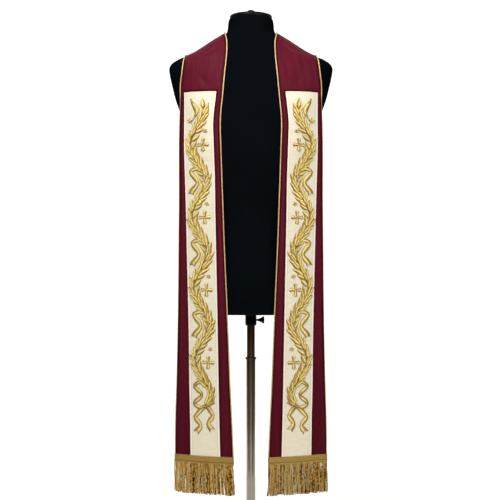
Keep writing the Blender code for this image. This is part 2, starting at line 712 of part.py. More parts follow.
def main():
    """Builds every piece in its place."""
    clear_scene()
    steel = finish("steel", (0.35, 0.33, 0.31), 0.28, 1.0)
    plastic = finish("black_plastic", (0.02, 0.02, 0.022), 0.35, 0.0)
    jersey = finish("black_jersey", (0.012, 0.013, 0.016), 0.85, 0.0)
    burgundy = finish("burgundy_satin", (0.115, 0.012, 0.025), 0.5, 0.0)
    cream = finish("cream_silk", (0.76, 0.65, 0.45), 0.55, 0.0)
    gold = finish("gold_thread", (0.42, 0.27, 0.08), 0.4, 0.3)
    build_stand(steel, plastic)
    form = build_form(jersey, plastic)
    build_stole(form, burgundy, cream, gold)


main()
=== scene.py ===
"""The looks of a clerical stole worn on a dress form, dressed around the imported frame."""
import math
import random

import bmesh
import bpy
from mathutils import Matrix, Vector
from mathutils.bvhtree import BVHTree


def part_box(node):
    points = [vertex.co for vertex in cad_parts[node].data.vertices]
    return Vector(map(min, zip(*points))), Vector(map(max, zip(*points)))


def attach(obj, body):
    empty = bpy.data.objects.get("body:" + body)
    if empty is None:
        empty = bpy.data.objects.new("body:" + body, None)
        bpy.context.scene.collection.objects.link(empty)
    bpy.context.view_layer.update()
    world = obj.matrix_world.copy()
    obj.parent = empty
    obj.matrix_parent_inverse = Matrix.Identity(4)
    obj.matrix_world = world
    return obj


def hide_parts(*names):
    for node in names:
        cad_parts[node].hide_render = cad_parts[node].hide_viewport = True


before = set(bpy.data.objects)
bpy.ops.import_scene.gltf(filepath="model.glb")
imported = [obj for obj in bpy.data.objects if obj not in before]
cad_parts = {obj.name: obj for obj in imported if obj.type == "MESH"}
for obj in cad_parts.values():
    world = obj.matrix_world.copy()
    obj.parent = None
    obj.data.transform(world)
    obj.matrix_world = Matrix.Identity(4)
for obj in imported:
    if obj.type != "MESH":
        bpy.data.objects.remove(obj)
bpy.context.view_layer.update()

# ---------------------------------------------------------------- pole and base
# Two lengths of steel tube that slide into each other, on a pressed round base.
# The tubes are drawn and polished and mirror the room; their colour also holds a painted
# reflection, dark at the top for the form above them and pale at the bottom for the room;
# the base is a plain brushed plate.


def linear(hex_colour):
    """sRGB hex to the linear colour that a shader takes."""
    parts = [int(hex_colour[k:k + 2], 16) / 255.0 for k in (1, 3, 5)]
    return tuple(c / 12.92 if c <= 0.04045 else ((c + 0.055) / 1.055) ** 2.4 for c in parts) + (1.0,)


def new_material(name, **sockets):
    """A Principled material and its shader, with sockets given by their names."""
    material = bpy.data.materials.new(name)
    material.use_nodes = True
    shader = material.node_tree.nodes["Principled BSDF"]
    for socket, value in sockets.items():
        shader.inputs[socket.replace("_", " ").title().replace("Ior", "IOR")].default_value = value
    return material, shader


def add(material, kind, inputs=(), **settings):
    """Adds a node with its settings, and links or fills the inputs that are given."""
    node = material.node_tree.nodes.new(kind)
    for key, value in settings.items():
        setattr(node, key, value)
    for socket, value in dict(inputs).items():
        if isinstance(value, bpy.types.NodeSocket):
            material.node_tree.links.new(value, node.inputs[socket])
        else:
            node.inputs[socket].default_value = value
    return node


def plug(material, output, socket):
    material.node_tree.links.new(output, socket)


# points closer than this are one point
MERGE = 0.00002


def deselect():
    for thing in bpy.context.selected_objects:
        thing.select_set(False)


def make_active(piece):
    deselect()
    piece.select_set(True)
    bpy.context.view_layer.objects.active = piece


def turn_on_lathe(name, profile, sides=64, sharp=38.0):
    """Draws a round piece from a circle, ring by ring. The profile is (radius, height);
    a radius of 0 closes the piece on its axis, and a profile that ends where it began
    makes a tube."""
    deselect()
    start = 1 if profile[0][0] == 0.0 else 0
    radius, height = profile[start]
    bpy.ops.mesh.primitive_circle_add(
        vertices=sides, radius=radius, location=(0.0, 0.0, height),
        fill_type="NGON" if start else "NOTHING")
    piece = bpy.context.object
    piece.name = name
    bpy.ops.object.transform_apply(location=True)
    bpy.ops.object.mode_set(mode="EDIT")
    bpy.ops.mesh.select_mode(type="EDGE")
    if start:
        bpy.ops.mesh.select_all(action="DESELECT")
        shape = bmesh.from_edit_mesh(piece.data)
        for edge in shape.edges:
            edge.select = True
        bmesh.update_edit_mesh(piece.data)
    for (old_radius, old_height), (new_radius, new_height) in zip(profile[start:], profile[start + 1:]):
        bpy.ops.mesh.extrude_edges_move(
            TRANSFORM_OT_translate={"value": (0.0, 0.0, new_height - old_height)})
        if new_radius == 0.0:
            bpy.ops.mesh.merge(type="CENTER")
            break
        share = new_radius / old_radius
        bpy.ops.transform.resize(value=(share, share, 1.0), center_override=(0.0, 0.0, new_height))
    bpy.ops.mesh.select_all(action="SELECT")
    bpy.ops.mesh.remove_doubles(threshold=MERGE)
    bpy.ops.mesh.normals_make_consistent(inside=False)
    bpy.ops.object.mode_set(mode="OBJECT")
    bpy.ops.object.shade_smooth_by_angle(angle=math.radians(sharp))
    return piece


def node_radius(node):
    """Half a round node's width, about its own axis along Z."""
    low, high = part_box(node)
    return (high.y - low.y) / 2.0


def tube(name, node, wall, chamfer=0.0004):
    """A tube of a node's radius and length."""
    low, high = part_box(node)
    radius = node_radius(node)
    return turn_on_lathe(name, (
        (radius, low.z + chamfer), (radius, high.z - chamfer), (radius - chamfer, high.z),
        (radius - wall, high.z), (radius - wall, low.z), (radius - chamfer, low.z),
        (radius, low.z + chamfer)))


# painted reflection: the tube's colour is pale at the foot and dark at the top, by height
STEEL_PAINTED_TOP_REFLECTION = "#57472d"
STEEL_PAINTED_MID_REFLECTION = "#a5977c"
STEEL_PAINTED_PALE_REFLECTION = "#cbc4b6"
STEEL_PAINTED_FOOT_REFLECTION = "#bfb8ab"
polished_steel, shader = new_material(
    "drawn steel tube", metallic=1.0, roughness=0.24, specular_tint=(0.30, 0.28, 0.25, 1.0))
place = add(polished_steel, "ShaderNodeTexCoord")
height = add(polished_steel, "ShaderNodeSeparateXYZ", {"Vector": place.outputs["Object"]})
rise = add(polished_steel, "ShaderNodeMapRange", {
    "Value": height.outputs["Z"], "From Min": 0.30, "From Max": 0.74})
tone = add(polished_steel, "ShaderNodeValToRGB", {"Fac": rise.outputs["Result"]})
tone.color_ramp.elements[0].color = linear(STEEL_PAINTED_FOOT_REFLECTION)
tone.color_ramp.elements[1].color = linear(STEEL_PAINTED_TOP_REFLECTION)
tone.color_ramp.elements.new(0.25).color = linear(STEEL_PAINTED_PALE_REFLECTION)
tone.color_ramp.elements.new(0.42).color = linear(STEEL_PAINTED_MID_REFLECTION)
plug(polished_steel, tone.outputs["Color"], shader.inputs["Base Color"])
# drawing marks run along the tube, a third of a millimetre apart
DRAWN_MARKS_PER_METRE = 3000.0
streak_scale = add(polished_steel, "ShaderNodeMapping", {
    "Vector": place.outputs["Object"], "Scale": (DRAWN_MARKS_PER_METRE, DRAWN_MARKS_PER_METRE, 12.0)})
streaks = add(polished_steel, "ShaderNodeTexNoise", {
    "Vector": streak_scale.outputs["Vector"], "Scale": 1.0})
gloss = add(polished_steel, "ShaderNodeMapRange", {
    "Value": streaks.outputs["Fac"], "To Min": 0.28, "To Max": 0.46})
plug(polished_steel, gloss.outputs["Result"], shader.inputs["Roughness"])

LOWER_TUBE_WALL = 0.0009
UPPER_TUBE_WALL = 0.0015
RUNNING_GAP = 0.0005
lower_tube = tube("lower_tube_steel", "lower_tube", LOWER_TUBE_WALL)
upper_tube = tube("upper_tube_steel", "upper_tube", UPPER_TUBE_WALL)
ferrule_low, ferrule_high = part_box("tube_ferrule")
ferrule_radius = node_radius("tube_ferrule")
ferrule_bore = node_radius("upper_tube") + RUNNING_GAP
ferrule = turn_on_lathe("ferrule_ring", (
    (ferrule_bore, ferrule_low.z), (ferrule_radius - 0.0009, ferrule_low.z),
    (ferrule_radius - 0.0002, ferrule_low.z + 0.0006), (ferrule_radius, ferrule_low.z + 0.0014),
    (ferrule_radius, ferrule_high.z - 0.0022), (ferrule_radius - 0.0004, ferrule_high.z - 0.0010),
    (ferrule_radius - 0.0018, ferrule_high.z - 0.0001), (ferrule_radius - 0.0030, ferrule_high.z),
    (ferrule_bore, ferrule_high.z), (ferrule_bore, ferrule_low.z)))

base_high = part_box("base_plate")[1]
base_radius = node_radius("base_plate")
PLATE = 0.006
BOSS = 0.024
SOCKET_FOR_TUBE = node_radius("lower_tube") + 0.0003
base = turn_on_lathe("base_plate_steel", (
    (0.0, 0.0), (base_radius - 0.0008, 0.0), (base_radius, 0.0008), (base_radius, PLATE - 0.0018),
    (base_radius - 0.0005, PLATE - 0.0006), (base_radius - 0.0016, PLATE - 0.0001),
    (BOSS + 0.009, PLATE), (BOSS + 0.004, PLATE + 0.0012), (BOSS + 0.001, PLATE + 0.0045),
    (BOSS - 0.0005, PLATE + 0.010), (BOSS - 0.001, base_high.z - 0.0025),
    (BOSS - 0.0018, base_high.z - 0.0008), (BOSS - 0.0035, base_high.z),
    (SOCKET_FOR_TUBE, base_high.z), (SOCKET_FOR_TUBE, PLATE), (0.0, PLATE)), sides=128)

brushed_steel, shader = new_material("brushed steel plate", metallic=1.0, roughness=0.36)
# brush marks are about 1 mm apart and run from front to back
BRUSH_MARKS_PER_METRE = 900.0
place = add(brushed_steel, "ShaderNodeTexCoord")
grain_scale = add(brushed_steel, "ShaderNodeMapping", {
    "Vector": place.outputs["Object"], "Scale": (BRUSH_MARKS_PER_METRE, 14.0, BRUSH_MARKS_PER_METRE)})
grain = add(brushed_steel, "ShaderNodeTexNoise", {"Vector": grain_scale.outputs["Vector"], "Scale": 1.0})
tone = add(brushed_steel, "ShaderNodeValToRGB", {"Fac": grain.outputs["Fac"]})
tone.color_ramp.elements[0].color = linear("#8d8a83")
tone.color_ramp.elements[1].color = linear("#b7b4ad")
plug(brushed_steel, tone.outputs["Color"], shader.inputs["Base Color"])
gloss = add(brushed_steel, "ShaderNodeMapRange", {
    "Value": grain.outputs["Fac"], "To Min": 0.28, "To Max": 0.45})
plug(brushed_steel, gloss.outputs["Result"], shader.inputs["Roughness"])

for piece, node, body in ((lower_tube, "lower_tube", "stand"), (ferrule, "tube_ferrule", "stand"),
                          (base, "base_plate", "stand"), (upper_tube, "upper_tube", "pole")):
    piece.data.materials.append(brushed_steel if piece is base else polished_steel)
    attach(piece, body)
    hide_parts(node)

# ---------------------------------------------------------------- socket and clamp screw
# A moulded black collar under the form grips the tube. Its screw has a thin shank,
# a cone and a round head with a rolled rim, turned by finger and thumb.

# a mould's grain is about 0.2 mm, too fine to show, so it is drawn at 1.4 mm: it breaks
# up the plastic's shine
MOULD_GRAINS_PER_METRE = 700.0
moulded_black, shader = new_material("moulded black ABS", roughness=0.42, specular_ior_level=0.10)
shader.inputs["Base Color"].default_value = linear("#070708")
place = add(moulded_black, "ShaderNodeTexCoord")
orange_peel = add(moulded_black, "ShaderNodeTexNoise", {
    "Vector": place.outputs["Object"], "Scale": MOULD_GRAINS_PER_METRE, "Detail": 2.0})
skin = add(moulded_black, "ShaderNodeBump", {
    "Height": orange_peel.outputs["Fac"], "Strength": 0.12, "Distance": 0.0002})
plug(moulded_black, skin.outputs["Normal"], shader.inputs["Normal"])

socket_low, socket_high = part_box("socket")
socket_radius = node_radius("socket")
socket_bore = node_radius("upper_tube") + RUNNING_GAP
collar = turn_on_lathe("socket_collar", (
    (socket_bore, socket_low.z), (socket_radius - 0.0042, socket_low.z),
    (socket_radius - 0.0022, socket_low.z + 0.0004), (socket_radius - 0.0007, socket_low.z + 0.0016),
    (socket_radius, socket_low.z + 0.0038), (socket_radius, socket_high.z - 0.0110),
    (socket_radius - 0.0004, socket_high.z - 0.0104), (socket_radius - 0.0004, socket_high.z - 0.0098),
    (socket_radius, socket_high.z - 0.0092), (socket_radius, socket_high.z),
    (socket_bore, socket_high.z), (socket_bore, socket_low.z)))

screw_low, screw_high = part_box("thumb_screw")
screw_height = (screw_low.z + screw_high.z) / 2.0
head_radius = node_radius("thumb_screw")
SHANK = 0.0027
screw = turn_on_lathe("clamp_screw", (
    (0.0, screw_low.x), (SHANK - 0.0005, screw_low.x), (SHANK, screw_low.x + 0.0006),
    (SHANK, 0.0182), (SHANK + 0.0004, 0.0188), (0.0048, 0.0245), (0.0062, 0.0292),
    (head_radius - 0.0014, 0.0312), (head_radius - 0.0004, 0.0319), (head_radius, 0.0328),
    (head_radius, screw_high.x - 0.0016), (head_radius - 0.0005, screw_high.x - 0.0006),
    (head_radius - 0.0016, screw_high.x), (head_radius - 0.0030, screw_high.x - 0.0003),
    (head_radius - 0.0040, screw_high.x - 0.0010), (0.0, screw_high.x - 0.0010)), sides=48)
# it was turned upright, and is laid along X
for vertex in screw.data.vertices:
    vertex.co = Vector((vertex.co.z, vertex.co.y, screw_height - vertex.co.x))

for piece, node, body in ((collar, "socket", "form"), (screw, "thumb_screw", "screw")):
    piece.data.materials.append(moulded_black)
    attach(piece, body)
    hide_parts(node)

# ---------------------------------------------------------------- the dress form
# Firm foam under a tight black cotton jersey cover, so matt that it reads as one dark
# shape with soft edges. A moulded cap with a small turned knob closes the neck.


def copy_of_node(node, name):
    """A new piece that starts as a node's mesh, with its loose triangles joined up."""
    piece = bpy.data.objects.new(name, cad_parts[node].data.copy())
    bpy.context.scene.collection.objects.link(piece)
    piece.data.materials.clear()
    make_active(piece)
    bpy.ops.object.mode_set(mode="EDIT")
    bpy.ops.mesh.select_all(action="SELECT")
    bpy.ops.mesh.remove_doubles(threshold=MERGE)
    bpy.ops.mesh.customdata_custom_splitnormals_clear()
    bpy.ops.mesh.tris_convert_to_quads(face_threshold=0.9, shape_threshold=1.2)
    bpy.ops.object.mode_set(mode="OBJECT")
    return piece


def smooth_out(piece, levels, sharp_angle):
    """Subdivides a piece so that it still passes through its own points. Edges that turn by
    more than the angle, in degrees, stay sharp."""
    shape = bmesh.new()
    shape.from_mesh(piece.data)
    kept = shape.edges.layers.float.new("crease_edge")
    for edge in shape.edges:
        if edge.calc_face_angle(0.0) > math.radians(sharp_angle):
            edge[kept] = 1.0
    shape.to_mesh(piece.data)
    shape.free()
    modifier = piece.modifiers.new("fine", "SUBSURF")
    modifier.levels = modifier.render_levels = levels
    aims = [vertex.co.copy() for vertex in piece.data.vertices]
    for _ in range(4):
        finer = piece.evaluated_get(bpy.context.evaluated_depsgraph_get()).data
        steps = [0.8 * (aim - finer.vertices[k].co) for k, aim in enumerate(aims)]
        for vertex, step in zip(piece.data.vertices, steps):
            vertex.co += step
        piece.data.update()
    make_active(piece)
    bpy.ops.object.modifier_apply(modifier="fine")
    bpy.ops.object.shade_smooth_by_angle(angle=math.radians(40.0))


cover = copy_of_node("torso", "form_cover")
smooth_out(cover, 2, 55.0)

jersey, shader = new_material("black cotton jersey", roughness=1.0, specular_ior_level=0.0)
# knitted wales are really 1 mm apart and courses 0.8 mm, too fine to show, so they are
# drawn 2 mm and 1.6 mm apart
WALES_PER_METRE = 500.0
COURSES_PER_METRE = 625.0
# a wave texture of scale 1 repeats 10 / pi times to the metre
WAVE_SCALE = math.pi / 10.0
place = add(jersey, "ShaderNodeTexCoord")
wales = add(jersey, "ShaderNodeTexWave", {
    "Vector": place.outputs["Object"], "Scale": WALES_PER_METRE * WAVE_SCALE, "Distortion": 0.6},
    bands_direction="X")
courses = add(jersey, "ShaderNodeTexWave", {
    "Vector": place.outputs["Object"], "Scale": COURSES_PER_METRE * WAVE_SCALE, "Distortion": 0.6},
    bands_direction="Z")
loops = add(jersey, "ShaderNodeMath", {
    0: wales.outputs["Fac"], 1: courses.outputs["Fac"]}, operation="ADD")
knit = add(jersey, "ShaderNodeBump", {
    "Height": loops.outputs[0], "Strength": 0.25, "Distance": 0.0003})
plug(jersey, knit.outputs["Normal"], shader.inputs["Normal"])
cloudy = add(jersey, "ShaderNodeTexNoise", {
    "Vector": place.outputs["Object"], "Scale": 5.0, "Detail": 3.0})
dye = add(jersey, "ShaderNodeValToRGB", {"Fac": cloudy.outputs["Fac"]})
dye.color_ramp.elements[0].color = linear("#050709")
dye.color_ramp.elements[1].color = linear("#0b0e12")
plug(jersey, dye.outputs["Color"], shader.inputs["Base Color"])
cover.data.materials.append(jersey)
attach(cover, "form")
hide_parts("torso")

cap_low, cap_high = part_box("neck_cap")
cap_radius = (cap_high.x - cap_low.x) / 2.0
CAP_FACE = 1.6250
KNOB = 0.0110
cap = turn_on_lathe("neck_cap_turned", (
    (0.0, cap_low.z), (cap_radius - 0.0016, cap_low.z), (cap_radius - 0.0003, cap_low.z + 0.0006),
    (cap_radius, cap_low.z + 0.0018), (cap_radius, CAP_FACE - 0.0030),
    (cap_radius - 0.0006, CAP_FACE - 0.0012), (cap_radius - 0.0018, CAP_FACE - 0.0002),
    (cap_radius - 0.0032, CAP_FACE), (0.0080, CAP_FACE), (0.0062, CAP_FACE + 0.0006),
    (0.0050, CAP_FACE + 0.0018), (0.0048, CAP_FACE + 0.0034), (0.0062, CAP_FACE + 0.0052),
    (0.0092, CAP_FACE + 0.0068), (0.0106, CAP_FACE + 0.0086), (KNOB, CAP_FACE + 0.0106),
    (0.0106, CAP_FACE + 0.0128), (0.0090, cap_high.z - 0.0023), (0.0056, cap_high.z - 0.0007),
    (0.0, cap_high.z)), sides=96)
# a domed rivet beside the knob holds the cap on
RIVET = 0.0040
rivet = turn_on_lathe("cap_rivet", (
    (0.0, CAP_FACE - 0.0010), (RIVET, CAP_FACE - 0.0010), (RIVET, CAP_FACE + 0.0006),
    (0.9 * RIVET, CAP_FACE + 0.0012), (0.6 * RIVET, CAP_FACE + 0.0018),
    (0.3 * RIVET, CAP_FACE + 0.0020), (0.25 * RIVET, CAP_FACE + 0.0014),
    (0.0, CAP_FACE + 0.0014)), sides=24)
RIVET_PLACE = Vector((-0.0240, -0.0140, 0.0))
for vertex in rivet.data.vertices:
    vertex.co += RIVET_PLACE
make_active(cap)
rivet.select_set(True)
bpy.ops.object.join()
cap.data.materials.append(moulded_black)
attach(cap, "form")
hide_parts("neck_cap")

# ---------------------------------------------------------------- the burgundy band
# Two lengths of burgundy satin, each doubled over a soft interlining, pressed, and
# joined by a mitred seam at the centre back. The edges are turned in and topstitched
# against the piping, so the cloth pulls in there and lies a little full between.


def surface_tree(piece, faces=None):
    """A search tree over a piece's faces, or over those that are given."""
    if faces is None:
        faces = [tuple(face.vertices) for face in piece.data.polygons]
    return BVHTree.FromPolygons([vertex.co.copy() for vertex in piece.data.vertices], faces)


def rim_finder(piece, thickest, flattest=1.0):
    """A search tree over the narrow faces round the rim of a thin wall, apart from those
    that face up or down by more than the share given."""
    rims = [tuple(face.vertices) for face in piece.data.polygons
            if abs(face.normal.z) <= flattest and min(
                (piece.data.vertices[a].co - piece.data.vertices[b].co).length
                for a, b in face.edge_keys) < thickest]
    return surface_tree(piece, rims)


def mark_rim_distance(piece, finder):
    """Writes each point's distance from the rim, in millimetres, for the materials."""
    marks = piece.data.attributes.new("rim_mm", "FLOAT", "POINT")
    for vertex in piece.data.vertices:
        marks.data[vertex.index].value = 1000.0 * finder.find_nearest(vertex.co)[3]


# a point this near the rim is on it
ON_RIM = 0.0002


def tuck_under_piping(piece, finder, distance):
    """Draws the long rims of a wall outwards, so that they end inside the piping."""
    for vertex in piece.data.vertices:
        _, normal, _, away = finder.find_nearest(vertex.co)
        if away < ON_RIM:
            vertex.co += distance * normal


def press_creases(piece, creases, front=True):
    """Presses soft troughs into cloth: each runs from one (x, z) to another, with its half
    width and depth in metres. A negative depth raises a ridge."""
    normals = [vertex.normal.copy() for vertex in piece.data.vertices]
    for vertex, normal in zip(piece.data.vertices, normals):
        if (vertex.co.y < 0.0) != front:
            continue
        outward = -normal if (normal.y > 0.0) == front else normal
        spot = Vector((vertex.co.x, vertex.co.z))
        for start, end, half_width, depth in creases:
            a, b = Vector(start), Vector(end)
            run = b - a
            along = min(max((spot - a).dot(run) / run.length_squared, 0.0), 1.0)
            away = (spot - (a + along * run)).length / half_width
            fade = math.sin(math.pi * (0.08 + 0.84 * along))
            vertex.co -= depth * fade * math.exp(-away * away) * outward


FRONT_CREASES = (
    ((0.1412, 1.4487), (0.1146, 1.4117), 0.008, 0.0026),
    ((0.130, 1.511), (0.096, 1.538), 0.007, 0.0026),
    ((0.152, 1.520), (0.139, 1.500), 0.006, 0.0014),
    ((0.118, 1.500), (0.122, 1.462), 0.010, -0.0012),
    ((0.172, 1.470), (0.176, 1.430), 0.010, 0.0008),
    ((0.086, 1.520), (0.090, 1.480), 0.009, 0.0008),
    ((0.150, 1.500), (0.100, 1.545), 0.012, 0.0006),
    ((0.190, 1.300), (0.186, 1.120), 0.012, 0.0008),
    ((0.074, 0.980), (0.066, 0.760), 0.014, 0.0010),
    ((0.190, 0.900), (0.198, 0.560), 0.016, 0.0010),
)
BACK_CREASES = (
    ((0.040, 1.520), (0.080, 1.440), 0.014, 0.0012),
    ((0.100, 1.530), (0.140, 1.475), 0.012, 0.0010),
    ((0.015, 1.500), (0.030, 1.420), 0.010, 0.0007),
)


def mirrored_creases(creases, side):
    return [((side * a[0], a[1]), (side * b[0], b[1]), half, depth) for a, b, half, depth in creases]


# satin's long floats lie smooth, which gives a deep colour with a low, even shine
satin, shader = new_material("burgundy satin", roughness=0.50, specular_ior_level=0.03)
SATIN_LIGHT = "#601828"
SATIN_DEEP = "#430a17"
SATIN_SHADOW = "#2c050c"
place = add(satin, "ShaderNodeTexCoord")
rim = add(satin, "ShaderNodeAttribute", attribute_name="rim_mm")
# the warp shows as soft streaks down the cloth, about 10 mm apart
WARP_STREAKS_PER_METRE = 100.0
warp_scale = add(satin, "ShaderNodeMapping", {
    "Vector": place.outputs["Object"], "Scale": (WARP_STREAKS_PER_METRE, WARP_STREAKS_PER_METRE, 3.5)})
mottle = add(satin, "ShaderNodeTexNoise", {
    "Vector": warp_scale.outputs["Vector"], "Scale": 1.0, "Detail": 4.0})
# painted light: the dye is drawn lighter at the chest and deeper near the hems, where the cloth takes less
# light
where = add(satin, "ShaderNodeSeparateXYZ", {"Vector": place.outputs["Object"]})
chest_light = add(satin, "ShaderNodeMapRange", {
    "Value": where.outputs["Z"], "From Min": 0.45, "From Max": 1.0, "To Min": -0.20, "To Max": 0.16})
mottle_and_painted_light = add(satin, "ShaderNodeMath", {
    0: mottle.outputs["Fac"], 1: chest_light.outputs["Result"]}, operation="ADD")
dye = add(satin, "ShaderNodeValToRGB", {"Fac": mottle_and_painted_light.outputs[0]})
dye.color_ramp.elements[0].position = 0.05
dye.color_ramp.elements[0].color = linear(SATIN_DEEP)
dye.color_ramp.elements[1].position = 0.95
dye.color_ramp.elements[1].color = linear(SATIN_LIGHT)
# painted shadow: the turned edges, at the piping and beside the panel, lie in a fine dark line
beside = add(satin, "ShaderNodeAttribute", attribute_name="beside_mm")
from_edge = add(satin, "ShaderNodeMath", {
    0: rim.outputs["Fac"], 1: beside.outputs["Fac"]}, operation="MINIMUM")
# painted shade: within a few millimetres of an edge the cloth is drawn in its deep colour, and only its full
# middle in the lighter dye
full = add(satin, "ShaderNodeMapRange", {
    "Value": from_edge.outputs[0], "From Min": 2.0, "From Max": 7.0}, interpolation_type="SMOOTHSTEP")
puff_painted_shade = add(satin, "ShaderNodeMix", {
    "Factor": full.outputs["Result"], 6: linear(SATIN_DEEP), 7: dye.outputs["Color"]}, data_type="RGBA")
lit = add(satin, "ShaderNodeMapRange", {
    "Value": from_edge.outputs[0], "From Min": 0.4, "From Max": 3.6}, interpolation_type="SMOOTHSTEP")
edge_painted_shadow = add(satin, "ShaderNodeMix", {
    "Factor": lit.outputs["Result"], 6: linear(SATIN_SHADOW), 7: puff_painted_shade.outputs[2]}, data_type="RGBA")
plug(satin, edge_painted_shadow.outputs[2], shader.inputs["Base Color"])
# satin floats are 0.25 mm apart, too fine to show, so they are drawn 2 mm apart
SATIN_FLOATS_PER_METRE = 500.0
floats = add(satin, "ShaderNodeTexWave", {
    "Vector": place.outputs["Object"], "Scale": SATIN_FLOATS_PER_METRE * WAVE_SCALE,
    "Distortion": 3.0, "Detail": 2.0}, bands_direction="Z")
fullness = add(satin, "ShaderNodeMapRange", {
    "Value": from_edge.outputs[0], "From Min": 0.0, "From Max": 9.0}, interpolation_type="SMOOTHERSTEP")
weave = add(satin, "ShaderNodeBump", {
    "Height": floats.outputs["Fac"], "Strength": 0.18, "Distance": 0.0003})
puff = add(satin, "ShaderNodeBump", {
    "Height": fullness.outputs["Result"], "Strength": 0.8, "Distance": 0.0022,
    "Normal": weave.outputs["Normal"]})
plug(satin, puff.outputs["Normal"], shader.inputs["Normal"])

BAND_WALL = 0.0020
SEAM_TUCK = 0.0012
# flat cut of each half: 162 mm wide at the hem, and about 120 mm at the shoulder
bands = {}
for side, label in ((1.0, "left"), (-1.0, "right")):
    band = copy_of_node("stole_" + label, "band_" + label)
    finder = rim_finder(band, 1.5 * BAND_WALL)
    long_rims = rim_finder(band, 1.5 * BAND_WALL, flattest=0.85)
    smooth_out(band, 2, 50.0)
    mark_rim_distance(band, finder)
    tuck_under_piping(band, long_rims, SEAM_TUCK)
    press_creases(band, mirrored_creases(FRONT_CREASES, side))
    press_creases(band, mirrored_creases(BACK_CREASES, side), front=False)
    band.data.materials.append(satin)
    bands[side] = band
    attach(band, "form")
    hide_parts("stole_" + label)

# ---------------------------------------------------------------- piping
# Cotton cord in a bias strip of pale gold lamé, sewn in along both edges of the band.
# The strip puckers very slightly round the cord, and its metal threads give a soft gleam.

lame, shader = new_material(
    "gold lame piping", roughness=0.42, metallic=0.25, sheen_weight=0.2, sheen_roughness=0.4)
# puckers are about 4 mm apart
PUCKERS_PER_METRE = 260.0
place = add(lame, "ShaderNodeTexCoord")
pucker = add(lame, "ShaderNodeTexNoise", {
    "Vector": place.outputs["Object"], "Scale": PUCKERS_PER_METRE, "Detail": 2.0})
tone = add(lame, "ShaderNodeValToRGB", {"Fac": pucker.outputs["Fac"]})
tone.color_ramp.elements[0].position = 0.3
tone.color_ramp.elements[0].color = linear("#c39b5a")
tone.color_ramp.elements[1].position = 0.7
tone.color_ramp.elements[1].color = linear("#e9c78c")
plug(lame, tone.outputs["Color"], shader.inputs["Base Color"])
wrinkle = add(lame, "ShaderNodeBump", {
    "Height": pucker.outputs["Fac"], "Strength": 0.3, "Distance": 0.0006})
plug(lame, wrinkle.outputs["Normal"], shader.inputs["Normal"])

# the cord is a little slimmer than its node, and its foot runs on behind the braid
PIPING_SLACK = 0.0005
PIPING_FOOT = 0.002
PIPING_RUN_ON = 0.005
for edge_name in ("inner", "outer"):
    for label in ("left", "right"):
        node = "piping_" + edge_name + "_" + label
        piping = copy_of_node(node, "cord_" + edge_name + "_" + label)
        smooth_out(piping, 2, 80.0)
        bpy.ops.object.mode_set(mode="EDIT")
        bpy.ops.mesh.select_all(action="SELECT")
        bpy.ops.transform.shrink_fatten(value=-PIPING_SLACK)
        bpy.ops.object.mode_set(mode="OBJECT")
        foot = min(vertex.co.z for vertex in piping.data.vertices)
        for vertex in piping.data.vertices:
            if vertex.co.z < foot + PIPING_FOOT:
                vertex.co.z -= PIPING_RUN_ON
        piping.data.materials.append(lame)
        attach(piping, "form")
        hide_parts(node)

# ---------------------------------------------------------------- the cream orphreys
# A panel of cream dupion silk on each front, its edges turned under over a stiff
# interfacing and topstitched 5.5 mm in. Dupion has uneven slubs along its weft, so it
# looks lively close by and plain from a step away.

dupion, shader = new_material(
    "cream dupion silk", roughness=0.58, sheen_weight=0.05, sheen_roughness=0.4, specular_ior_level=0.25)
TOPSTITCH_MM = 5.5
# slubs are about 2.4 mm apart and 22 mm long
SLUBS_PER_METRE = 420.0
SLUB_LENGTHS_PER_METRE = 45.0
place = add(dupion, "ShaderNodeTexCoord")
rim = add(dupion, "ShaderNodeAttribute", attribute_name="rim_mm")
slub_scale = add(dupion, "ShaderNodeMapping", {
    "Vector": place.outputs["Object"],
    "Scale": (SLUB_LENGTHS_PER_METRE, SLUB_LENGTHS_PER_METRE, SLUBS_PER_METRE)})
slubs = add(dupion, "ShaderNodeTexNoise", {
    "Vector": slub_scale.outputs["Vector"], "Scale": 1.0, "Detail": 4.0, "Roughness": 0.6})
tone = add(dupion, "ShaderNodeValToRGB", {"Fac": slubs.outputs["Fac"]})
tone.color_ramp.elements[0].position = 0.30
tone.color_ramp.elements[0].color = linear("#ddd2b7")
tone.color_ramp.elements[1].position = 0.70
tone.color_ramp.elements[1].color = linear("#e9e0c8")
# the stitch line: a dip whose middle is TOPSTITCH_MM from the edge
off_line = add(dupion, "ShaderNodeMath", {
    0: rim.outputs["Fac"], 1: TOPSTITCH_MM}, operation="SUBTRACT")
off_line = add(dupion, "ShaderNodeMath", {0: off_line.outputs[0]}, operation="ABSOLUTE")
on_line = add(dupion, "ShaderNodeMapRange", {
    "Value": off_line.outputs[0], "From Min": 0.0, "From Max": 1.1, "To Min": 1.0, "To Max": 0.0},
    interpolation_type="SMOOTHSTEP")
# painted shade: the dip is drawn darker, towards #a8926a, by this share
STITCH_SHADE = 0.38
stitched = add(dupion, "ShaderNodeMath", {
    0: on_line.outputs["Result"], 1: STITCH_SHADE}, operation="MULTIPLY")
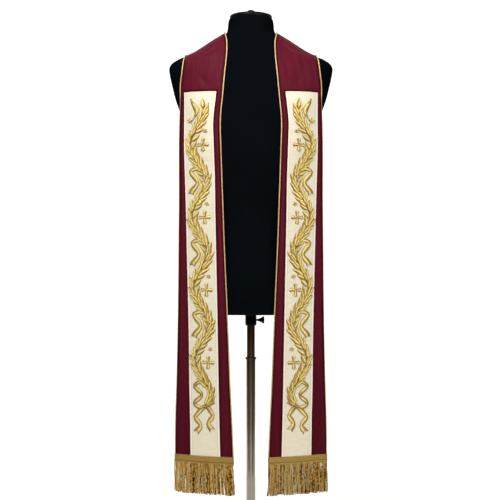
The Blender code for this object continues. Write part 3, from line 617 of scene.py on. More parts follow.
# the border outside it is doubled cloth and fuller, and is drawn a shade lighter: a painted highlight on the
# puff
outside = add(dupion, "ShaderNodeMapRange", {
    "Value": rim.outputs["Fac"], "From Min": TOPSTITCH_MM - 1.5, "From Max": TOPSTITCH_MM,
    "To Min": 0.55, "To Max": 0.0})
border_painted_highlight = add(dupion, "ShaderNodeMix", {
    "Factor": outside.outputs["Result"], 6: tone.outputs["Color"], 7: linear("#fdf1df")}, data_type="RGBA")
cloth_tone = add(dupion, "ShaderNodeMix", {
    "Factor": stitched.outputs[0], 6: border_painted_highlight.outputs[2], 7: linear("#a8926a")}, data_type="RGBA")
plug(dupion, cloth_tone.outputs[2], shader.inputs["Base Color"])
weft = add(dupion, "ShaderNodeBump", {
    "Height": slubs.outputs["Fac"], "Strength": 0.22, "Distance": 0.0005})
groove = add(dupion, "ShaderNodeBump", {
    "Height": on_line.outputs["Result"], "Strength": 0.6, "Distance": 0.0008,
    "Normal": weft.outputs["Normal"]}, invert=True)
plug(dupion, groove.outputs["Normal"], shader.inputs["Normal"])

# stands for a place that no panel's edge is near
FAR_MM = 99.0
COVER_REACH = 0.015


def mark_beside(band, panel, finder):
    """Writes how far, in millimetres, each point of the band's front lies outside the edge
    of the panel sewn on it. Under the panel it is negative. Far off and on the back it is 99."""
    above = surface_tree(panel)
    marks = band.data.attributes.new("beside_mm", "FLOAT", "POINT")
    for vertex in band.data.vertices:
        away = finder.find_nearest(vertex.co)[3]
        if away > 0.001 * FAR_MM or vertex.normal.y > 0.0:
            marks.data[vertex.index].value = FAR_MM
            continue
        covered = above.ray_cast(vertex.co, Vector((0.0, -1.0, 0.0)), COVER_REACH)[0] is not None
        marks.data[vertex.index].value = 1000.0 * (-away if covered else away)


ORPHREY_WALL = 0.0010
PANEL_CREASES = (
    ((0.092, 0.470), (0.160, 0.463), 0.006, 0.0008),
    ((0.085, 0.450), (0.135, 0.452), 0.005, 0.0006),
    ((0.120, 0.438), (0.165, 0.441), 0.005, 0.0007),
    ((0.100, 0.500), (0.150, 0.486), 0.008, 0.0006),
    ((0.110, 0.930), (0.160, 0.945), 0.012, 0.0007),
    ((0.115, 1.180), (0.165, 1.165), 0.012, 0.0006),
)
panels = {}
for side, label in ((1.0, "left"), (-1.0, "right")):
    panel = copy_of_node("orphrey_" + label, "panel_" + label)
    finder = rim_finder(panel, 1.5 * ORPHREY_WALL)
    long_sides = rim_finder(panel, 1.5 * ORPHREY_WALL, flattest=0.7)
    smooth_out(panel, 2, 50.0)
    mark_rim_distance(panel, long_sides)
    mark_beside(bands[side], panel, finder)
    press_creases(panel, mirrored_creases(PANEL_CREASES, side))
    panel.data.materials.append(dupion)
    panels[side] = panel
    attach(panel, "form")
    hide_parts("orphrey_" + label)

# ---------------------------------------------------------------- laurel garlands
# Gold metal thread in satin stitch over felt padding: a wavy stem, with a wide pair of
# leaves and then a narrow pair with one between them, by turns, each leaf parted by a
# midrib. Worked flat, and then laid on the curve of the panel.


def lay_on_panel(piece, tree, side):
    """Each point of flat work, (x, height off the cloth, z), goes to its place on the
    panel. The work is drawn for the wearer's left and mirrored for the right."""
    towards = Vector((0.0, 1.0, 0.0))
    for vertex in piece.data.vertices:
        x, lift, z = vertex.co
        spot, normal, _, _ = tree.ray_cast(Vector((side * x, -1.0, z)), towards)
        if spot is None:
            spot, normal, _, _ = tree.find_nearest(Vector((side * x, -0.08, z)))
        if normal.y > 0.0:
            normal = -normal
        vertex.co = spot + lift * normal
    if side < 0.0:
        piece.data.flip_normals()


def through(points, steps):
    """Evenly numbered points on a Catmull-Rom curve through the given ones."""
    curve = []
    for k in range(len(points) - 1):
        p0 = points[max(k - 1, 0)]
        p1, p2 = points[k], points[k + 1]
        p3 = points[min(k + 2, len(points) - 1)]
        for n in range(steps):
            t = n / steps
            curve.append(tuple(
                b + 0.5 * t * (c - a + t * (2 * a - 5 * b + 4 * c - d + t * (3 * (b - c) + d - a)))
                for a, b, c, d in zip(p0, p1, p2, p3)))
    curve.append(tuple(points[-1]))
    return curve


def walk(curve, pitch):
    """Points at an even pitch along a curve of (x, z), each with its direction."""
    lengths = [0.0]
    for a, b in zip(curve, curve[1:]):
        lengths.append(lengths[-1] + math.hypot(b[0] - a[0], b[1] - a[1]))
    stops = []
    cell = 0
    for n in range(int(lengths[-1] / pitch) + 1):
        want = n * pitch
        while cell < len(curve) - 2 and lengths[cell + 1] < want:
            cell += 1
        a, b = Vector(curve[cell][:2]), Vector(curve[cell + 1][:2])
        part = (want - lengths[cell]) / max(lengths[cell + 1] - lengths[cell], 1e-9)
        stops.append((a.lerp(b, part), (b - a).normalized()))
    return stops


def new_pad(name, cells_long, cells_wide):
    """A sheet of stitches to shape: its UV runs along it and across it."""
    deselect()
    bpy.ops.mesh.primitive_grid_add(
        x_subdivisions=cells_long, y_subdivisions=cells_wide, size=2.0, calc_uvs=True)
    pad = bpy.context.object
    pad.name = name
    bpy.ops.object.mode_set(mode="EDIT")
    bpy.ops.mesh.select_all(action="SELECT")
    bpy.ops.mesh.extrude_region_move(TRANSFORM_OT_translate={"value": (0.0, 0.0, -1.0)})
    bpy.ops.mesh.select_all(action="SELECT")
    bpy.ops.mesh.normals_make_consistent(inside=False)
    bpy.ops.object.mode_set(mode="OBJECT")
    return pad


LEAF_LENGTH = 0.0300
LEAF_WIDTH = 0.0115
LEAF_PAD = 0.0024
# as shares of the dome's height and of the half width
MIDRIB_DEPTH = 0.34
MIDRIB_HALF = 0.22
SINK = 0.0004
leaf = new_pad("leaf_pattern", 10, 6)
for vertex in leaf.data.vertices:
    along, across, upper = (vertex.co.x + 1.0) / 2.0, vertex.co.y, vertex.co.z > -0.5
    half = 0.5 * LEAF_WIDTH * math.sin(math.pi * along ** 0.86) ** 0.86
    dome = math.sqrt(max(1.0 - across * across, 0.0))
    midrib = MIDRIB_DEPTH * math.exp(-(across / MIDRIB_HALF) ** 2)
    body_height = LEAF_PAD * (0.35 + 0.65 * math.sin(math.pi * min(along + 0.12, 1.0)) ** 0.6)
    lift = body_height * (dome - midrib) if upper else -SINK
    vertex.co = Vector((along * LEAF_LENGTH, across * half, lift))


def stitched_together(name, pattern, placings):
    """Copies of one pattern, joined in one piece. A placing is (root, heading in radians,
    scale along, scale across, height)."""
    together = bmesh.new()
    for root, heading, long_scale, wide_scale, height in placings:
        before = len(together.verts)
        together.from_mesh(pattern.data)
        together.verts.ensure_lookup_table()
        cosine, sine = math.cos(heading), math.sin(heading)
        for vertex in together.verts[before:]:
            x, y, z = vertex.co.x * long_scale, vertex.co.y * wide_scale, vertex.co.z
            vertex.co = Vector((
                root.x + x * cosine - y * sine, height + z, root.y + x * sine + y * cosine))
    piece = bpy.data.objects.new(name, bpy.data.meshes.new(name))
    bpy.context.scene.collection.objects.link(piece)
    together.to_mesh(piece.data)
    together.free()
    piece.data.flip_normals()
    piece.data.shade_smooth()
    return piece


# where a ribbon's half width falls below this it turns over, and a stem is narrower still
TURN_HALF = 0.0048
TURN_FADE = 0.0014
STEM_LIKE = 0.0022
STEM_LIKE_FADE = 0.0008
DEEPEST_FOLD_SHADE = 0.65


def padded_strip(name, points, pad_height, lift, fork=0.0, cells=64):
    """A padded strip along a curve of (x, z, half width), domed across. A fork cuts a
    swallow-tail in its end. Where it narrows it turns over, and its fold is marked for
    painted shade."""
    curve = through(points, 10)
    lengths = [0.0]
    for a, b in zip(curve, curve[1:]):
        lengths.append(lengths[-1] + math.hypot(b[0] - a[0], b[1] - a[1]))
    strip = new_pad(name, cells, 4)
    shade_marks = strip.data.attributes.new("painted_shade", "FLOAT", "POINT")
    for vertex in strip.data.vertices:
        along, sideways, upper = (vertex.co.x + 1.0) / 2.0, vertex.co.y, vertex.co.z > -0.5
        want = along * lengths[-1] - fork * (1.0 - abs(sideways)) * max(0.0, 8.0 * along - 7.0)
        cell = 0
        while cell < len(curve) - 2 and lengths[cell + 1] < want:
            cell += 1
        part = (want - lengths[cell]) / (lengths[cell + 1] - lengths[cell])
        a, b = Vector(curve[cell]), Vector(curve[cell + 1])
        middle = a.lerp(b, part)
        ahead = Vector((b.x - a.x, b.y - a.y)).normalized()
        narrow = max((TURN_HALF - middle.z) / TURN_FADE, 0.0)
        ribbon = max((middle.z - STEM_LIKE) / STEM_LIKE_FADE, 0.0)
        turned_over = min(narrow, ribbon, DEEPEST_FOLD_SHADE)
        # painted shade also darkens the spread cut end of a fork
        flare = 0.18 * min(max((along - 0.84) / 0.10, 0.0), 1.0) if fork else 0.0
        shade_marks.data[vertex.index].value = max(turned_over, flare)
        crown = pad_height * math.sqrt(max(1.0 - 0.92 * sideways * sideways, 0.0))
        vertex.co = Vector((
            middle.x - ahead.y * sideways * middle.z, lift + (crown if upper else -SINK - lift),
            middle.y + ahead.x * sideways * middle.z))
    strip.data.flip_normals()
    strip.data.shade_smooth()
    return strip


def join(name, pieces):
    make_active(pieces[0])
    for piece in pieces[1:]:
        piece.select_set(True)
    if len(pieces) > 1:
        bpy.ops.object.join()
    pieces[0].name = name
    return pieces[0]


# heights on the wearer's left panel, and the stem's even wave between them
KNOT_HEIGHT = 0.5475
TIP_HEIGHT = 1.3600
TOP_BEND_HEIGHT = 1.2546
WAVE_LENGTH = 0.1943
WAVE_REACH = 0.0203


# the panel leans outwards towards its top, and the stem with it
STEM_MIDDLE = 0.1306
STEM_MIDDLE_HEIGHT = 0.67
STEM_LEAN = 0.0222
KNOT_SWEEP = 0.0070
KNOT_SWEEP_HEIGHT = 0.055
TIP_SWEEP = 0.0027
TIP_SWEEP_HEIGHT = 0.030


def stem_at(height):
    """The stem's middle at a height, as (x, z). Its ends are drawn a little outwards."""
    middle = STEM_MIDDLE + STEM_LEAN * (height - STEM_MIDDLE_HEIGHT)
    wave = WAVE_REACH * math.cos(2.0 * math.pi * (height - TOP_BEND_HEIGHT) / WAVE_LENGTH)
    near_knot = max(0.0, KNOT_HEIGHT + KNOT_SWEEP_HEIGHT - height) / KNOT_SWEEP_HEIGHT
    near_tip = max(0.0, height - TIP_HEIGHT + TIP_SWEEP_HEIGHT) / TIP_SWEEP_HEIGHT
    return middle + wave + KNOT_SWEEP * near_knot ** 2 + TIP_SWEEP * near_tip ** 2, height


STEM_CELLS = 120
STEM_HALF = 0.0011
STEM_PAD = 0.0011
STEM_PAINTED_SHADE = 0.60
stem_line = [stem_at(KNOT_HEIGHT + (TIP_HEIGHT - KNOT_HEIGHT) * k / STEM_CELLS)
             for k in range(STEM_CELLS + 1)]
PAIR_PITCH = 0.0108
SLANT_CROWDING = 0.0012
SHEAF_END = 0.055
PLUME_LENGTH = 0.050
SHEAF_PITCH = 0.0095
OUTER_LEAF_ANGLE = math.radians(29.0)
INNER_LEAF_ANGLE = math.radians(15.0)
OUTER_LEAF_ASIDE = 0.0015
INNER_LEAF_ASIDE = 0.0029
OUTER_LEAF_LIFT = 0.0004
INNER_LEAF_LIFT = 0.0013
MIDDLE_LEAF_LIFT = 0.0020
HOLLOW_SPREAD = math.radians(15.0)
CREST_SPREAD = math.radians(7.0)
random.seed(11)
leaf_placings = []
walked = 0.0
due = 1.0
outer_pair = True
STRIDE = 0.001
stem_steps = walk(stem_line, STRIDE)
for spot, ahead in stem_steps[:-10]:
    in_sheaf = walked < SHEAF_END
    walked += STRIDE
    slant = abs(ahead.x)
    due += STRIDE / (SHEAF_PITCH if in_sheaf else PAIR_PITCH - SLANT_CROWDING * slant)
    if due < 1.0:
        continue
    due -= 1.0
    outer_pair = not outer_pair
    heading = math.atan2(ahead.y, ahead.x)
    spread = 0.5 if in_sheaf else 0.68 if spot.y > TIP_HEIGHT - PLUME_LENGTH else 1.0
    outwards = math.cos(2.0 * math.pi * (spot.y - TOP_BEND_HEIGHT) / WAVE_LENGTH)
    for hand in (-1.0, 1.0):
        hollow = hand * outwards
        if hollow > 0.7 and not outer_pair:
            continue
        lean = OUTER_LEAF_ANGLE if outer_pair else INNER_LEAF_ANGLE
        lean += math.radians(random.uniform(-4.0, 4.0))
        lean += (HOLLOW_SPREAD if hollow > 0.0 else CREST_SPREAD) * hollow
        aside = Vector((-ahead.y, ahead.x)) * hand * (
            OUTER_LEAF_ASIDE if outer_pair else INNER_LEAF_ASIDE)
        aside += ahead * random.uniform(-0.002, 0.002)
        length = (1.0 if outer_pair else 0.9) * random.uniform(0.94, 1.06) - 0.10 * max(hollow, 0.0)
        leaf_placings.append((
            spot + aside, heading + hand * spread * lean, length,
            (1.0 if outer_pair else 0.92) * random.uniform(0.92, 1.08),
            OUTER_LEAF_LIFT if outer_pair else INNER_LEAF_LIFT))
    if not outer_pair:
        leaf_placings.append((
            spot + 0.004 * ahead, heading + math.radians(random.uniform(-9.0, 9.0)),
            random.uniform(0.86, 1.0), 0.80, MIDDLE_LEAF_LIFT))
tip, ahead = stem_steps[-1]
leaf_placings.append((tip - 0.006 * ahead, math.radians(80.0), 1.0, 1.0, 0.0012))

# passing thread is flat gold wound on a silk core; its colour holds a painted highlight on
# the crown of each leaf and painted shade in the gaps
gold_thread, shader = new_material(
    "gold passing thread", roughness=0.40, metallic=0.22, specular_ior_level=0.4)
GOLD_SHADE = "#6b4d14"
GOLD_BODY = "#cba645"
GOLD_PAINTED_HIGHLIGHT = "#f5e193"
GOLD_MIDRIB_SHADE = "#92742c"
GOLD_SLOPE_SHADE = "#ab8a36"
FOLD_SHADE = "#6f5318"
uv = add(gold_thread, "ShaderNodeUVMap", uv_map="UVMap")
parts = add(gold_thread, "ShaderNodeSeparateXYZ", {"Vector": uv.outputs["UV"]})
# painted light and shade across each leaf: dark at both edges and in the midrib, light on
# the crown of each half
across = add(gold_thread, "ShaderNodeValToRGB", {"Fac": parts.outputs["Y"]})
ramp = across.color_ramp
ramp.elements[0].position, ramp.elements[0].color = 0.0, linear(GOLD_SHADE)
ramp.elements[1].position, ramp.elements[1].color = 1.0, linear(GOLD_SHADE)
for position, colour in ((0.14, GOLD_BODY), (0.30, GOLD_PAINTED_HIGHLIGHT), (0.50, GOLD_PAINTED_HIGHLIGHT), (0.56, GOLD_BODY),
                         (0.60, GOLD_MIDRIB_SHADE), (0.66, GOLD_BODY), (0.82, GOLD_SLOPE_SHADE)):
    ramp.elements.new(position).color = linear(colour)
# threads are 0.3 mm thick and lie at a slant, too fine to show: they are drawn 0.4 mm
# apart on a leaf, 1 to 2 mm on the longer ribbons, and far coarser on the dark stem
thread_scale = add(gold_thread, "ShaderNodeMapping", {
    "Vector": uv.outputs["UV"], "Scale": (50.0, 8.0, 1.0), "Rotation": (0.0, 0.0, 0.5)})
threads = add(gold_thread, "ShaderNodeTexWave", {
    "Vector": thread_scale.outputs["Vector"], "Scale": 0.5, "Distortion": 0.8}, bands_direction="X")
worn = add(gold_thread, "ShaderNodeMix", {
    "Factor": 0.16, 6: across.outputs["Color"], 7: threads.outputs["Color"]},
    data_type="RGBA", blend_type="OVERLAY")
# painted shade: where a ribbon turns over, its fold is drawn dark, as the shadow it lies in
painted_shade = add(gold_thread, "ShaderNodeAttribute", attribute_name="painted_shade")
with_painted_shade = add(gold_thread, "ShaderNodeMix", {
    "Factor": painted_shade.outputs["Fac"], 6: worn.outputs[2], 7: linear(FOLD_SHADE)}, data_type="RGBA")
# each leaf comes out from under the tips of those below it, so its root is in shade
root = add(gold_thread, "ShaderNodeMapRange", {
    "Value": parts.outputs["X"], "From Min": 0.05, "From Max": 0.24, "To Min": 0.55, "To Max": 0.0})
rooted = add(gold_thread, "ShaderNodeMix", {
    "Factor": root.outputs["Result"], 6: with_painted_shade.outputs[2], 7: linear(FOLD_SHADE)}, data_type="RGBA")
plug(gold_thread, rooted.outputs[2], shader.inputs["Base Color"])
ridges = add(gold_thread, "ShaderNodeBump", {
    "Height": threads.outputs["Fac"], "Strength": 0.5, "Distance": 0.0003})
plug(gold_thread, ridges.outputs["Normal"], shader.inputs["Normal"])

surfaces = {side: surface_tree(panel) for side, panel in panels.items()}
for side, label in ((1.0, "left"), (-1.0, "right")):
    stem = padded_strip(
        "stem", [(x, z, STEM_HALF) for x, z in stem_line[::4]], STEM_PAD, 0.0, cells=240)
    # painted shade: the whole stem is drawn darker with the fold colour
    for mark in stem.data.attributes["painted_shade"].data:
        mark.value = STEM_PAINTED_SHADE
    laurel = join("laurel_" + label, [stitched_together("leaves", leaf, leaf_placings), stem])
    lay_on_panel(laurel, surfaces[side], side)
    laurel.data.materials.append(gold_thread)
    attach(laurel, "form")
    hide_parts("garland_" + label)

# ---------------------------------------------------------------- ribbons
# A ribbon winds up the stem, worked in the same thread: it loops out into each bay on
# the outer side, ties in a knot at the foot and ends in two swallow-tails. Courses are
# in millimetres, outwards and up from a place on the stem.


def arch(start, end, rise, count=4):
    """An even bow from one place towards another; the end itself is left to what follows."""
    steps = [k / count for k in range(count)]
    return [(start[0] + (end[0] - start[0]) * t,
             start[1] + (end[1] - start[1]) * t + rise * math.sin(math.pi * t)) for t in steps]


def swings(middle, top, foot, reach, turns, count=8):
    """A cosine about a plumb line, from its widest place at the top down to the foot."""
    steps = [k / count for k in range(count + 1)]
    return [(middle + reach * math.cos(2.0 * math.pi * turns * t), top + (foot - top) * t) for t in steps]


def ribboned(points, half, swell, waves, flare=0.0):
    """Gives a course its half widths, which swell and narrow in even waves. A narrow place
    is where the ribbon turns over, and a flare spreads its cut end."""
    last = len(points) - 1
    return [(x, z, half + swell * math.sin(math.pi * waves * k / last) ** 2 + flare * (k / last) ** 8)
            for k, (x, z) in enumerate(points)]


LOOP = ribboned(arch((-2, 12), (42, 27), 14) + swings(33, 27, -36, 9, 1.0), 4.4, 1.8, 3, flare=3.4)
FOOT = ribboned(arch((-4, 52), (31, 54), 12) + swings(21, 54, 6, 10, 1.0)
                + arch((28, 1), (0, 0), -5)[:3] + [(0, 0)], 3.7, 1.4, 4)
SHORT_END = ribboned(arch((3, -3), (-25, 12), 2) + [(-25, 12)], 1.7, 3.2, 1)
TAIL_OUTER = ribboned(
    arch((2, -2), (29, -30), 3) + swings(22, -30, -74, 7, 0.9), 4.4, 1.9, 3, flare=4.0)
TAIL_INNER = ribboned(
    arch((-2, -2), (-19, -24), 3) + swings(-13, -24, -66, -6, 0.9), 4.4, 1.9, 3, flare=3.6)
TOP_TAIL = ribboned(swings(26, 22, -36, 8, 0.8), 1.6, 5.4, 1)
SPRIG_STEM = ribboned(arch((27, -55), (36, -42), 1) + [(36, -42)], 0.9, 0.0, 1)
SPRIG_HEADING = 80.0
SPRIG_SPREAD = 45.0
SPRIG_ROOT = Vector((0.036, -0.042))
SPRIG_LEAF = (0.40, 0.58)
RIBBON_PAD = 0.0014
# how high each strip lies over the cloth, so that those on top cross over the others
TOP_LIFT = 0.0004
TAIL_LIFT = 0.0006
LOOP_LIFT = 0.0009
FOOT_LIFT = 0.0012
END_LIFT = 0.0018
LOOP_FORK = 0.005
TAIL_FORK = 0.007


def from_anchor(points, anchor):
    """Turns a course in millimetres into (x, z, half width) in metres."""
    return [(anchor[0] + 0.001 * x, anchor[1] + 0.001 * z, 0.001 * half) for x, z, half in points]


for side, label in ((1.0, "left"), (-1.0, "right")):
    inner_bends = [stem_at(TOP_BEND_HEIGHT - (bay + 0.5) * WAVE_LENGTH) for bay in range(3)]
    knot, tip = stem_at(KNOT_HEIGHT), stem_at(TIP_HEIGHT)
    strips = [padded_strip("loop", from_anchor(LOOP, bend), RIBBON_PAD, LOOP_LIFT, fork=LOOP_FORK)
              for bend in inner_bends]
    strips += [padded_strip("foot", from_anchor(FOOT, knot), RIBBON_PAD, FOOT_LIFT, cells=80),
               padded_strip("end", from_anchor(SHORT_END, knot), RIBBON_PAD, END_LIFT, cells=24),
               padded_strip("tail", from_anchor(TAIL_OUTER, knot), RIBBON_PAD, TAIL_LIFT, fork=TAIL_FORK),
               padded_strip("tail", from_anchor(TAIL_INNER, knot), RIBBON_PAD, TAIL_LIFT, fork=TAIL_FORK),
               padded_strip("top", from_anchor(TOP_TAIL, tip), RIBBON_PAD, TOP_LIFT),
               padded_strip("sprig", from_anchor(SPRIG_STEM, tip), 0.0012, 0.0, cells=8)]
    sprig = [(Vector(tip) + SPRIG_ROOT, math.radians(SPRIG_HEADING + SPRIG_SPREAD * step),
              *SPRIG_LEAF, TOP_LIFT) for step in (1, 0, -1)]
    strips.append(stitched_together("sprig", leaf, sprig))
    winding = join("ribbon_" + label, strips)
    lay_on_panel(winding, surfaces[side], side)
    winding.data.materials.append(gold_thread)
    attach(winding, "form")
bpy.data.objects.remove(leaf)

# ---------------------------------------------------------------- crosses and buds
# A small Greek cross stands in each inner bay: four padded arms that widen to round
# ends. Over it stands a bud of three fanned petals, each made as an arm is.

CROSS_ARM = 0.0170
ARM_HALF = 0.0032
ARM_SWELL = 0.0023
ARM_PAD = 0.0021
# where an arm is widest, and where its round end begins, as shares of its length
SWELL_PLACE = 0.80
SWELL_REACH = 0.17
ROUND_FROM = 0.78
# the upright arms are a little longer than the level ones
UPRIGHT_SHARE = 1.06
# each arm lies just over the last, and a petal as high as the second one
OVERLAP = 0.0002
# the topmost of each as (x, z), and the even step from one down to the next
CROSS_TOP = (0.1292, 1.2546)
BUD_TOP = (0.1246, 1.2878)
CROSS_STEP = (-0.0046, -0.1963)
BUD_HEADING = 105.0
BUD_SPREAD = 52.0
# a petal's place in the fan, and its share of an arm's length and width
BUD_PETALS = ((1, 0.44, 0.46), (0, 0.52, 0.50), (-1, 0.44, 0.46))
arm = new_pad("arm_pattern", 7, 4)
for vertex in arm.data.vertices:
    along, sideways, upper = (vertex.co.x + 1.0) / 2.0, vertex.co.y, vertex.co.z > -0.5
    half = ARM_HALF + ARM_SWELL * math.exp(-((along - SWELL_PLACE) / SWELL_REACH) ** 2)
    end = math.sqrt(max(1.0 - max(0.0, (along - ROUND_FROM) / (1.0 - ROUND_FROM)) ** 2, 0.02))
    crown = ARM_PAD * math.sqrt(max(1.0 - 0.9 * sideways * sideways, 0.0)) * (0.4 + 0.6 * end)
    vertex.co = Vector((along * CROSS_ARM, sideways * half * end, crown if upper else -SINK))

for side, label in ((1.0, "left"), (-1.0, "right")):
    for number in range(1, 5):
        spot, bud = [(top[0] + CROSS_STEP[0] * (number - 1), top[1] + CROSS_STEP[1] * (number - 1))
                     for top in (CROSS_TOP, BUD_TOP)]
        placings = [(Vector(spot), quarter * math.pi / 2.0, 1.0 if quarter % 2 == 0 else UPRIGHT_SHARE,
                     1.0, OVERLAP * quarter) for quarter in range(4)]
        for step, length, width in BUD_PETALS:
            heading = math.radians(BUD_HEADING + BUD_SPREAD * step)
            placings.append((Vector(bud), heading, length, width, OVERLAP))
        cross = stitched_together("stitched_cross_" + label + "_" + str(number), arm, placings)
        lay_on_panel(cross, surfaces[side], side)
        cross.data.materials.append(gold_thread)
        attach(cross, "form")
        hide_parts("cross_" + label + "_" + str(number))
bpy.data.objects.remove(arm)

# ---------------------------------------------------------------- braid and bullion fringe
# A woven gold braid, 23 mm deep, covers each hem; it has a broad plait over a narrow
# ridge. From its lower edge hang bullion cords 80 mm long, each two plies twisted hard.

# the metal of bullion lies in turns round a soft core; each ply is drawn bright on its crown
# and dark in its groove, painted light and shade
bullion, shader = new_material("gold bullion", roughness=0.45, metallic=0.30, specular_ior_level=0.2)
place = add(bullion, "ShaderNodeTexCoord")
# the metal is worn unevenly, in flecks about 4 mm apart and finer
FLECKS_PER_METRE = 260.0
strand_noise = add(bullion, "ShaderNodeTexNoise", {
    "Vector": place.outputs["Object"], "Scale": FLECKS_PER_METRE, "Detail": 3.0, "Roughness": 0.7})
# each cord has its own tone, which changes from turn to turn; those at the back are painted
# dark, as the shade of the front ones
cord_tone_and_shade = add(bullion, "ShaderNodeAttribute", attribute_name="cord_tone_and_shade")
strand_tone = add(bullion, "ShaderNodeMix", {
    "Factor": 0.82, 2: strand_noise.outputs["Fac"], 3: cord_tone_and_shade.outputs["Fac"]}, data_type="FLOAT")
tone = add(bullion, "ShaderNodeValToRGB", {"Fac": strand_tone.outputs[0]})
BULLION_SHADE = "#5c3c06"
BULLION_GOLD = "#eeae40"
BULLION_LIGHT = "#ffde88"
BULLION_GROOVE_SHADE = "#4a2e02"
tone.color_ramp.elements[0].position = 0.20
tone.color_ramp.elements[0].color = linear(BULLION_SHADE)
tone.color_ramp.elements[1].position = 0.80
tone.color_ramp.elements[1].color = linear(BULLION_LIGHT)
tone.color_ramp.elements.new(0.40).color = linear(BULLION_GOLD)
# painted shade: the groove that winds down each cord, where the plies part, is drawn dark
groove_shade_mark = add(bullion, "ShaderNodeAttribute", attribute_name="groove")
deep = add(bullion, "ShaderNodeMapRange", {
    "Value": groove_shade_mark.outputs["Fac"], "From Min": 0.50, "From Max": 1.0, "To Min": 0.0, "To Max": 0.80})
groove_shaded = add(bullion, "ShaderNodeMix", {
    "Factor": deep.outputs["Result"], 6: tone.outputs["Color"], 7: linear(BULLION_GROOVE_SHADE)}, data_type="RGBA")
plug(bullion, groove_shaded.outputs[2], shader.inputs["Base Color"])

# woven metal thread looks coarse and lively: its colour holds a painted highlight on its
# slants and painted shade between them
braid_gold, shader = new_material(
    "woven gold braid", roughness=0.45, metallic=0.25, specular_ior_level=0.3)
BRAID_SHADE = "#543a08"
BRAID_GOLD = "#906b1f"
BRAID_PAINTED_HIGHLIGHT = "#dfb863"
uv = add(braid_gold, "ShaderNodeUVMap", uv_map="UVMap")
# the plait's slants are 6 mm apart along the braid
plait_scale = add(braid_gold, "ShaderNodeMapping", {
    "Vector": uv.outputs["UV"], "Scale": (54.0, 5.0, 1.0)})
plaits = add(braid_gold, "ShaderNodeTexWave", {
    "Vector": plait_scale.outputs["Vector"], "Scale": 0.32, "Distortion": 1.6, "Detail": 2.0},
    bands_direction="DIAGONAL")
# knots of the weave, under 3 mm apart, catch the light unevenly: 62 along and 9 down it
glint_scale = add(braid_gold, "ShaderNodeMapping", {
    "Vector": uv.outputs["UV"], "Scale": (62.0, 9.0, 1.0)})
glints = add(braid_gold, "ShaderNodeTexNoise", {
    "Vector": glint_scale.outputs["Vector"], "Scale": 1.0, "Detail": 0.5, "Roughness": 0.5})
mixed = add(braid_gold, "ShaderNodeMix", {
    "Factor": 0.70, 2: plaits.outputs["Fac"], 3: glints.outputs["Fac"]}, data_type="FLOAT")
tone = add(braid_gold, "ShaderNodeValToRGB", {"Fac": mixed.outputs[0]})
tone.color_ramp.elements[0].position = 0.38
tone.color_ramp.elements[0].color = linear(BRAID_SHADE)
tone.color_ramp.elements[1].position = 0.62
tone.color_ramp.elements[1].color = linear(BRAID_PAINTED_HIGHLIGHT)
tone.color_ramp.elements.new(0.5).color = linear(BRAID_GOLD)
# painted light and shade down the braid: a dark gap parts the broad plait from the ridge below
# it, with a light line over it, and the foot and head are drawn darker
rows = add(braid_gold, "ShaderNodeSeparateXYZ", {"Vector": uv.outputs["UV"]})
gap = add(braid_gold, "ShaderNodeValToRGB", {"Fac": rows.outputs["Y"]})
FOOT_SHADE = 0.45
HEAD_SHADE = 0.7
gap.color_ramp.elements[0].position = 0.0
gap.color_ramp.elements[0].color = (FOOT_SHADE, FOOT_SHADE, FOOT_SHADE, 1.0)
gap.color_ramp.elements[1].position = 1.0
gap.color_ramp.elements[1].color = (HEAD_SHADE, HEAD_SHADE, HEAD_SHADE, 1.0)
for position, level in ((0.06, 0.85), (0.17, 1.1), (0.27, 1.0), (0.30, 0.22), (0.35, 0.22),
                        (0.38, 0.9), (0.42, 1.3), (0.50, 0.95), (0.93, 1.0)):
    gap.color_ramp.elements.new(position).color = (level, level, level, 1.0)
shaded = add(braid_gold, "ShaderNodeMix", {
    "Factor": 1.0, 6: tone.outputs["Color"], 7: gap.outputs["Color"]},
    data_type="RGBA", blend_type="MULTIPLY")
plug(braid_gold, shaded.outputs[2], shader.inputs["Base Color"])
raised = add(braid_gold, "ShaderNodeBump", {
    "Height": plaits.outputs["Fac"], "Strength": 0.7, "Distance": 0.0006})
plug(braid_gold, raised.outputs["Normal"], shader.inputs["Normal"])

HEADER_TOP = 0.4116
HEADER_BOTTOM = 0.3887
HEADER_OVERHANG = 0.0035
# how far the braid stands out from the cloth, at shares of its depth
HEADER_PROFILE = (
    (0.0, 0.0022), (0.03, 0.0034), (0.12, 0.0030), (0.36, 0.0036), (0.60, 0.0030), (0.66, 0.0022),
    (0.70, 0.0030), (0.80, 0.0040), (0.92, 0.0036), (0.98, 0.0026), (1.0, 0.0016))
HEADER_BACK = 0.0002
CORDS = 50
CORD_PLY = 0.00120
CORD_TURN = 0.0078
CORD_RINGS_PER_TURN = 10
CORD_SIDES = 6
FULL_TURN = 6.28
FRINGE_FOOT = 0.3090
# the cords start this far up behind the braid
CORD_HIDDEN = 0.0020


def hem_line(node):
    """The front face's points along the hem of a band, from its inner to its outer edge."""
    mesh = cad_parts[node].data
    lowest = min(vertex.co.z for vertex in mesh.vertices)
    foot = {(round(vertex.co.x, 6), round(vertex.co.y, 6)) for vertex in mesh.vertices
            if vertex.co.z < lowest + 0.0008}
    ordered = sorted(foot, key=lambda point: abs(point[0]))
    pairs = [ordered[k:k + 2] for k in range(0, len(ordered), 2)]
    return [Vector(min(pair, key=lambda point: point[1])) for pair in pairs]


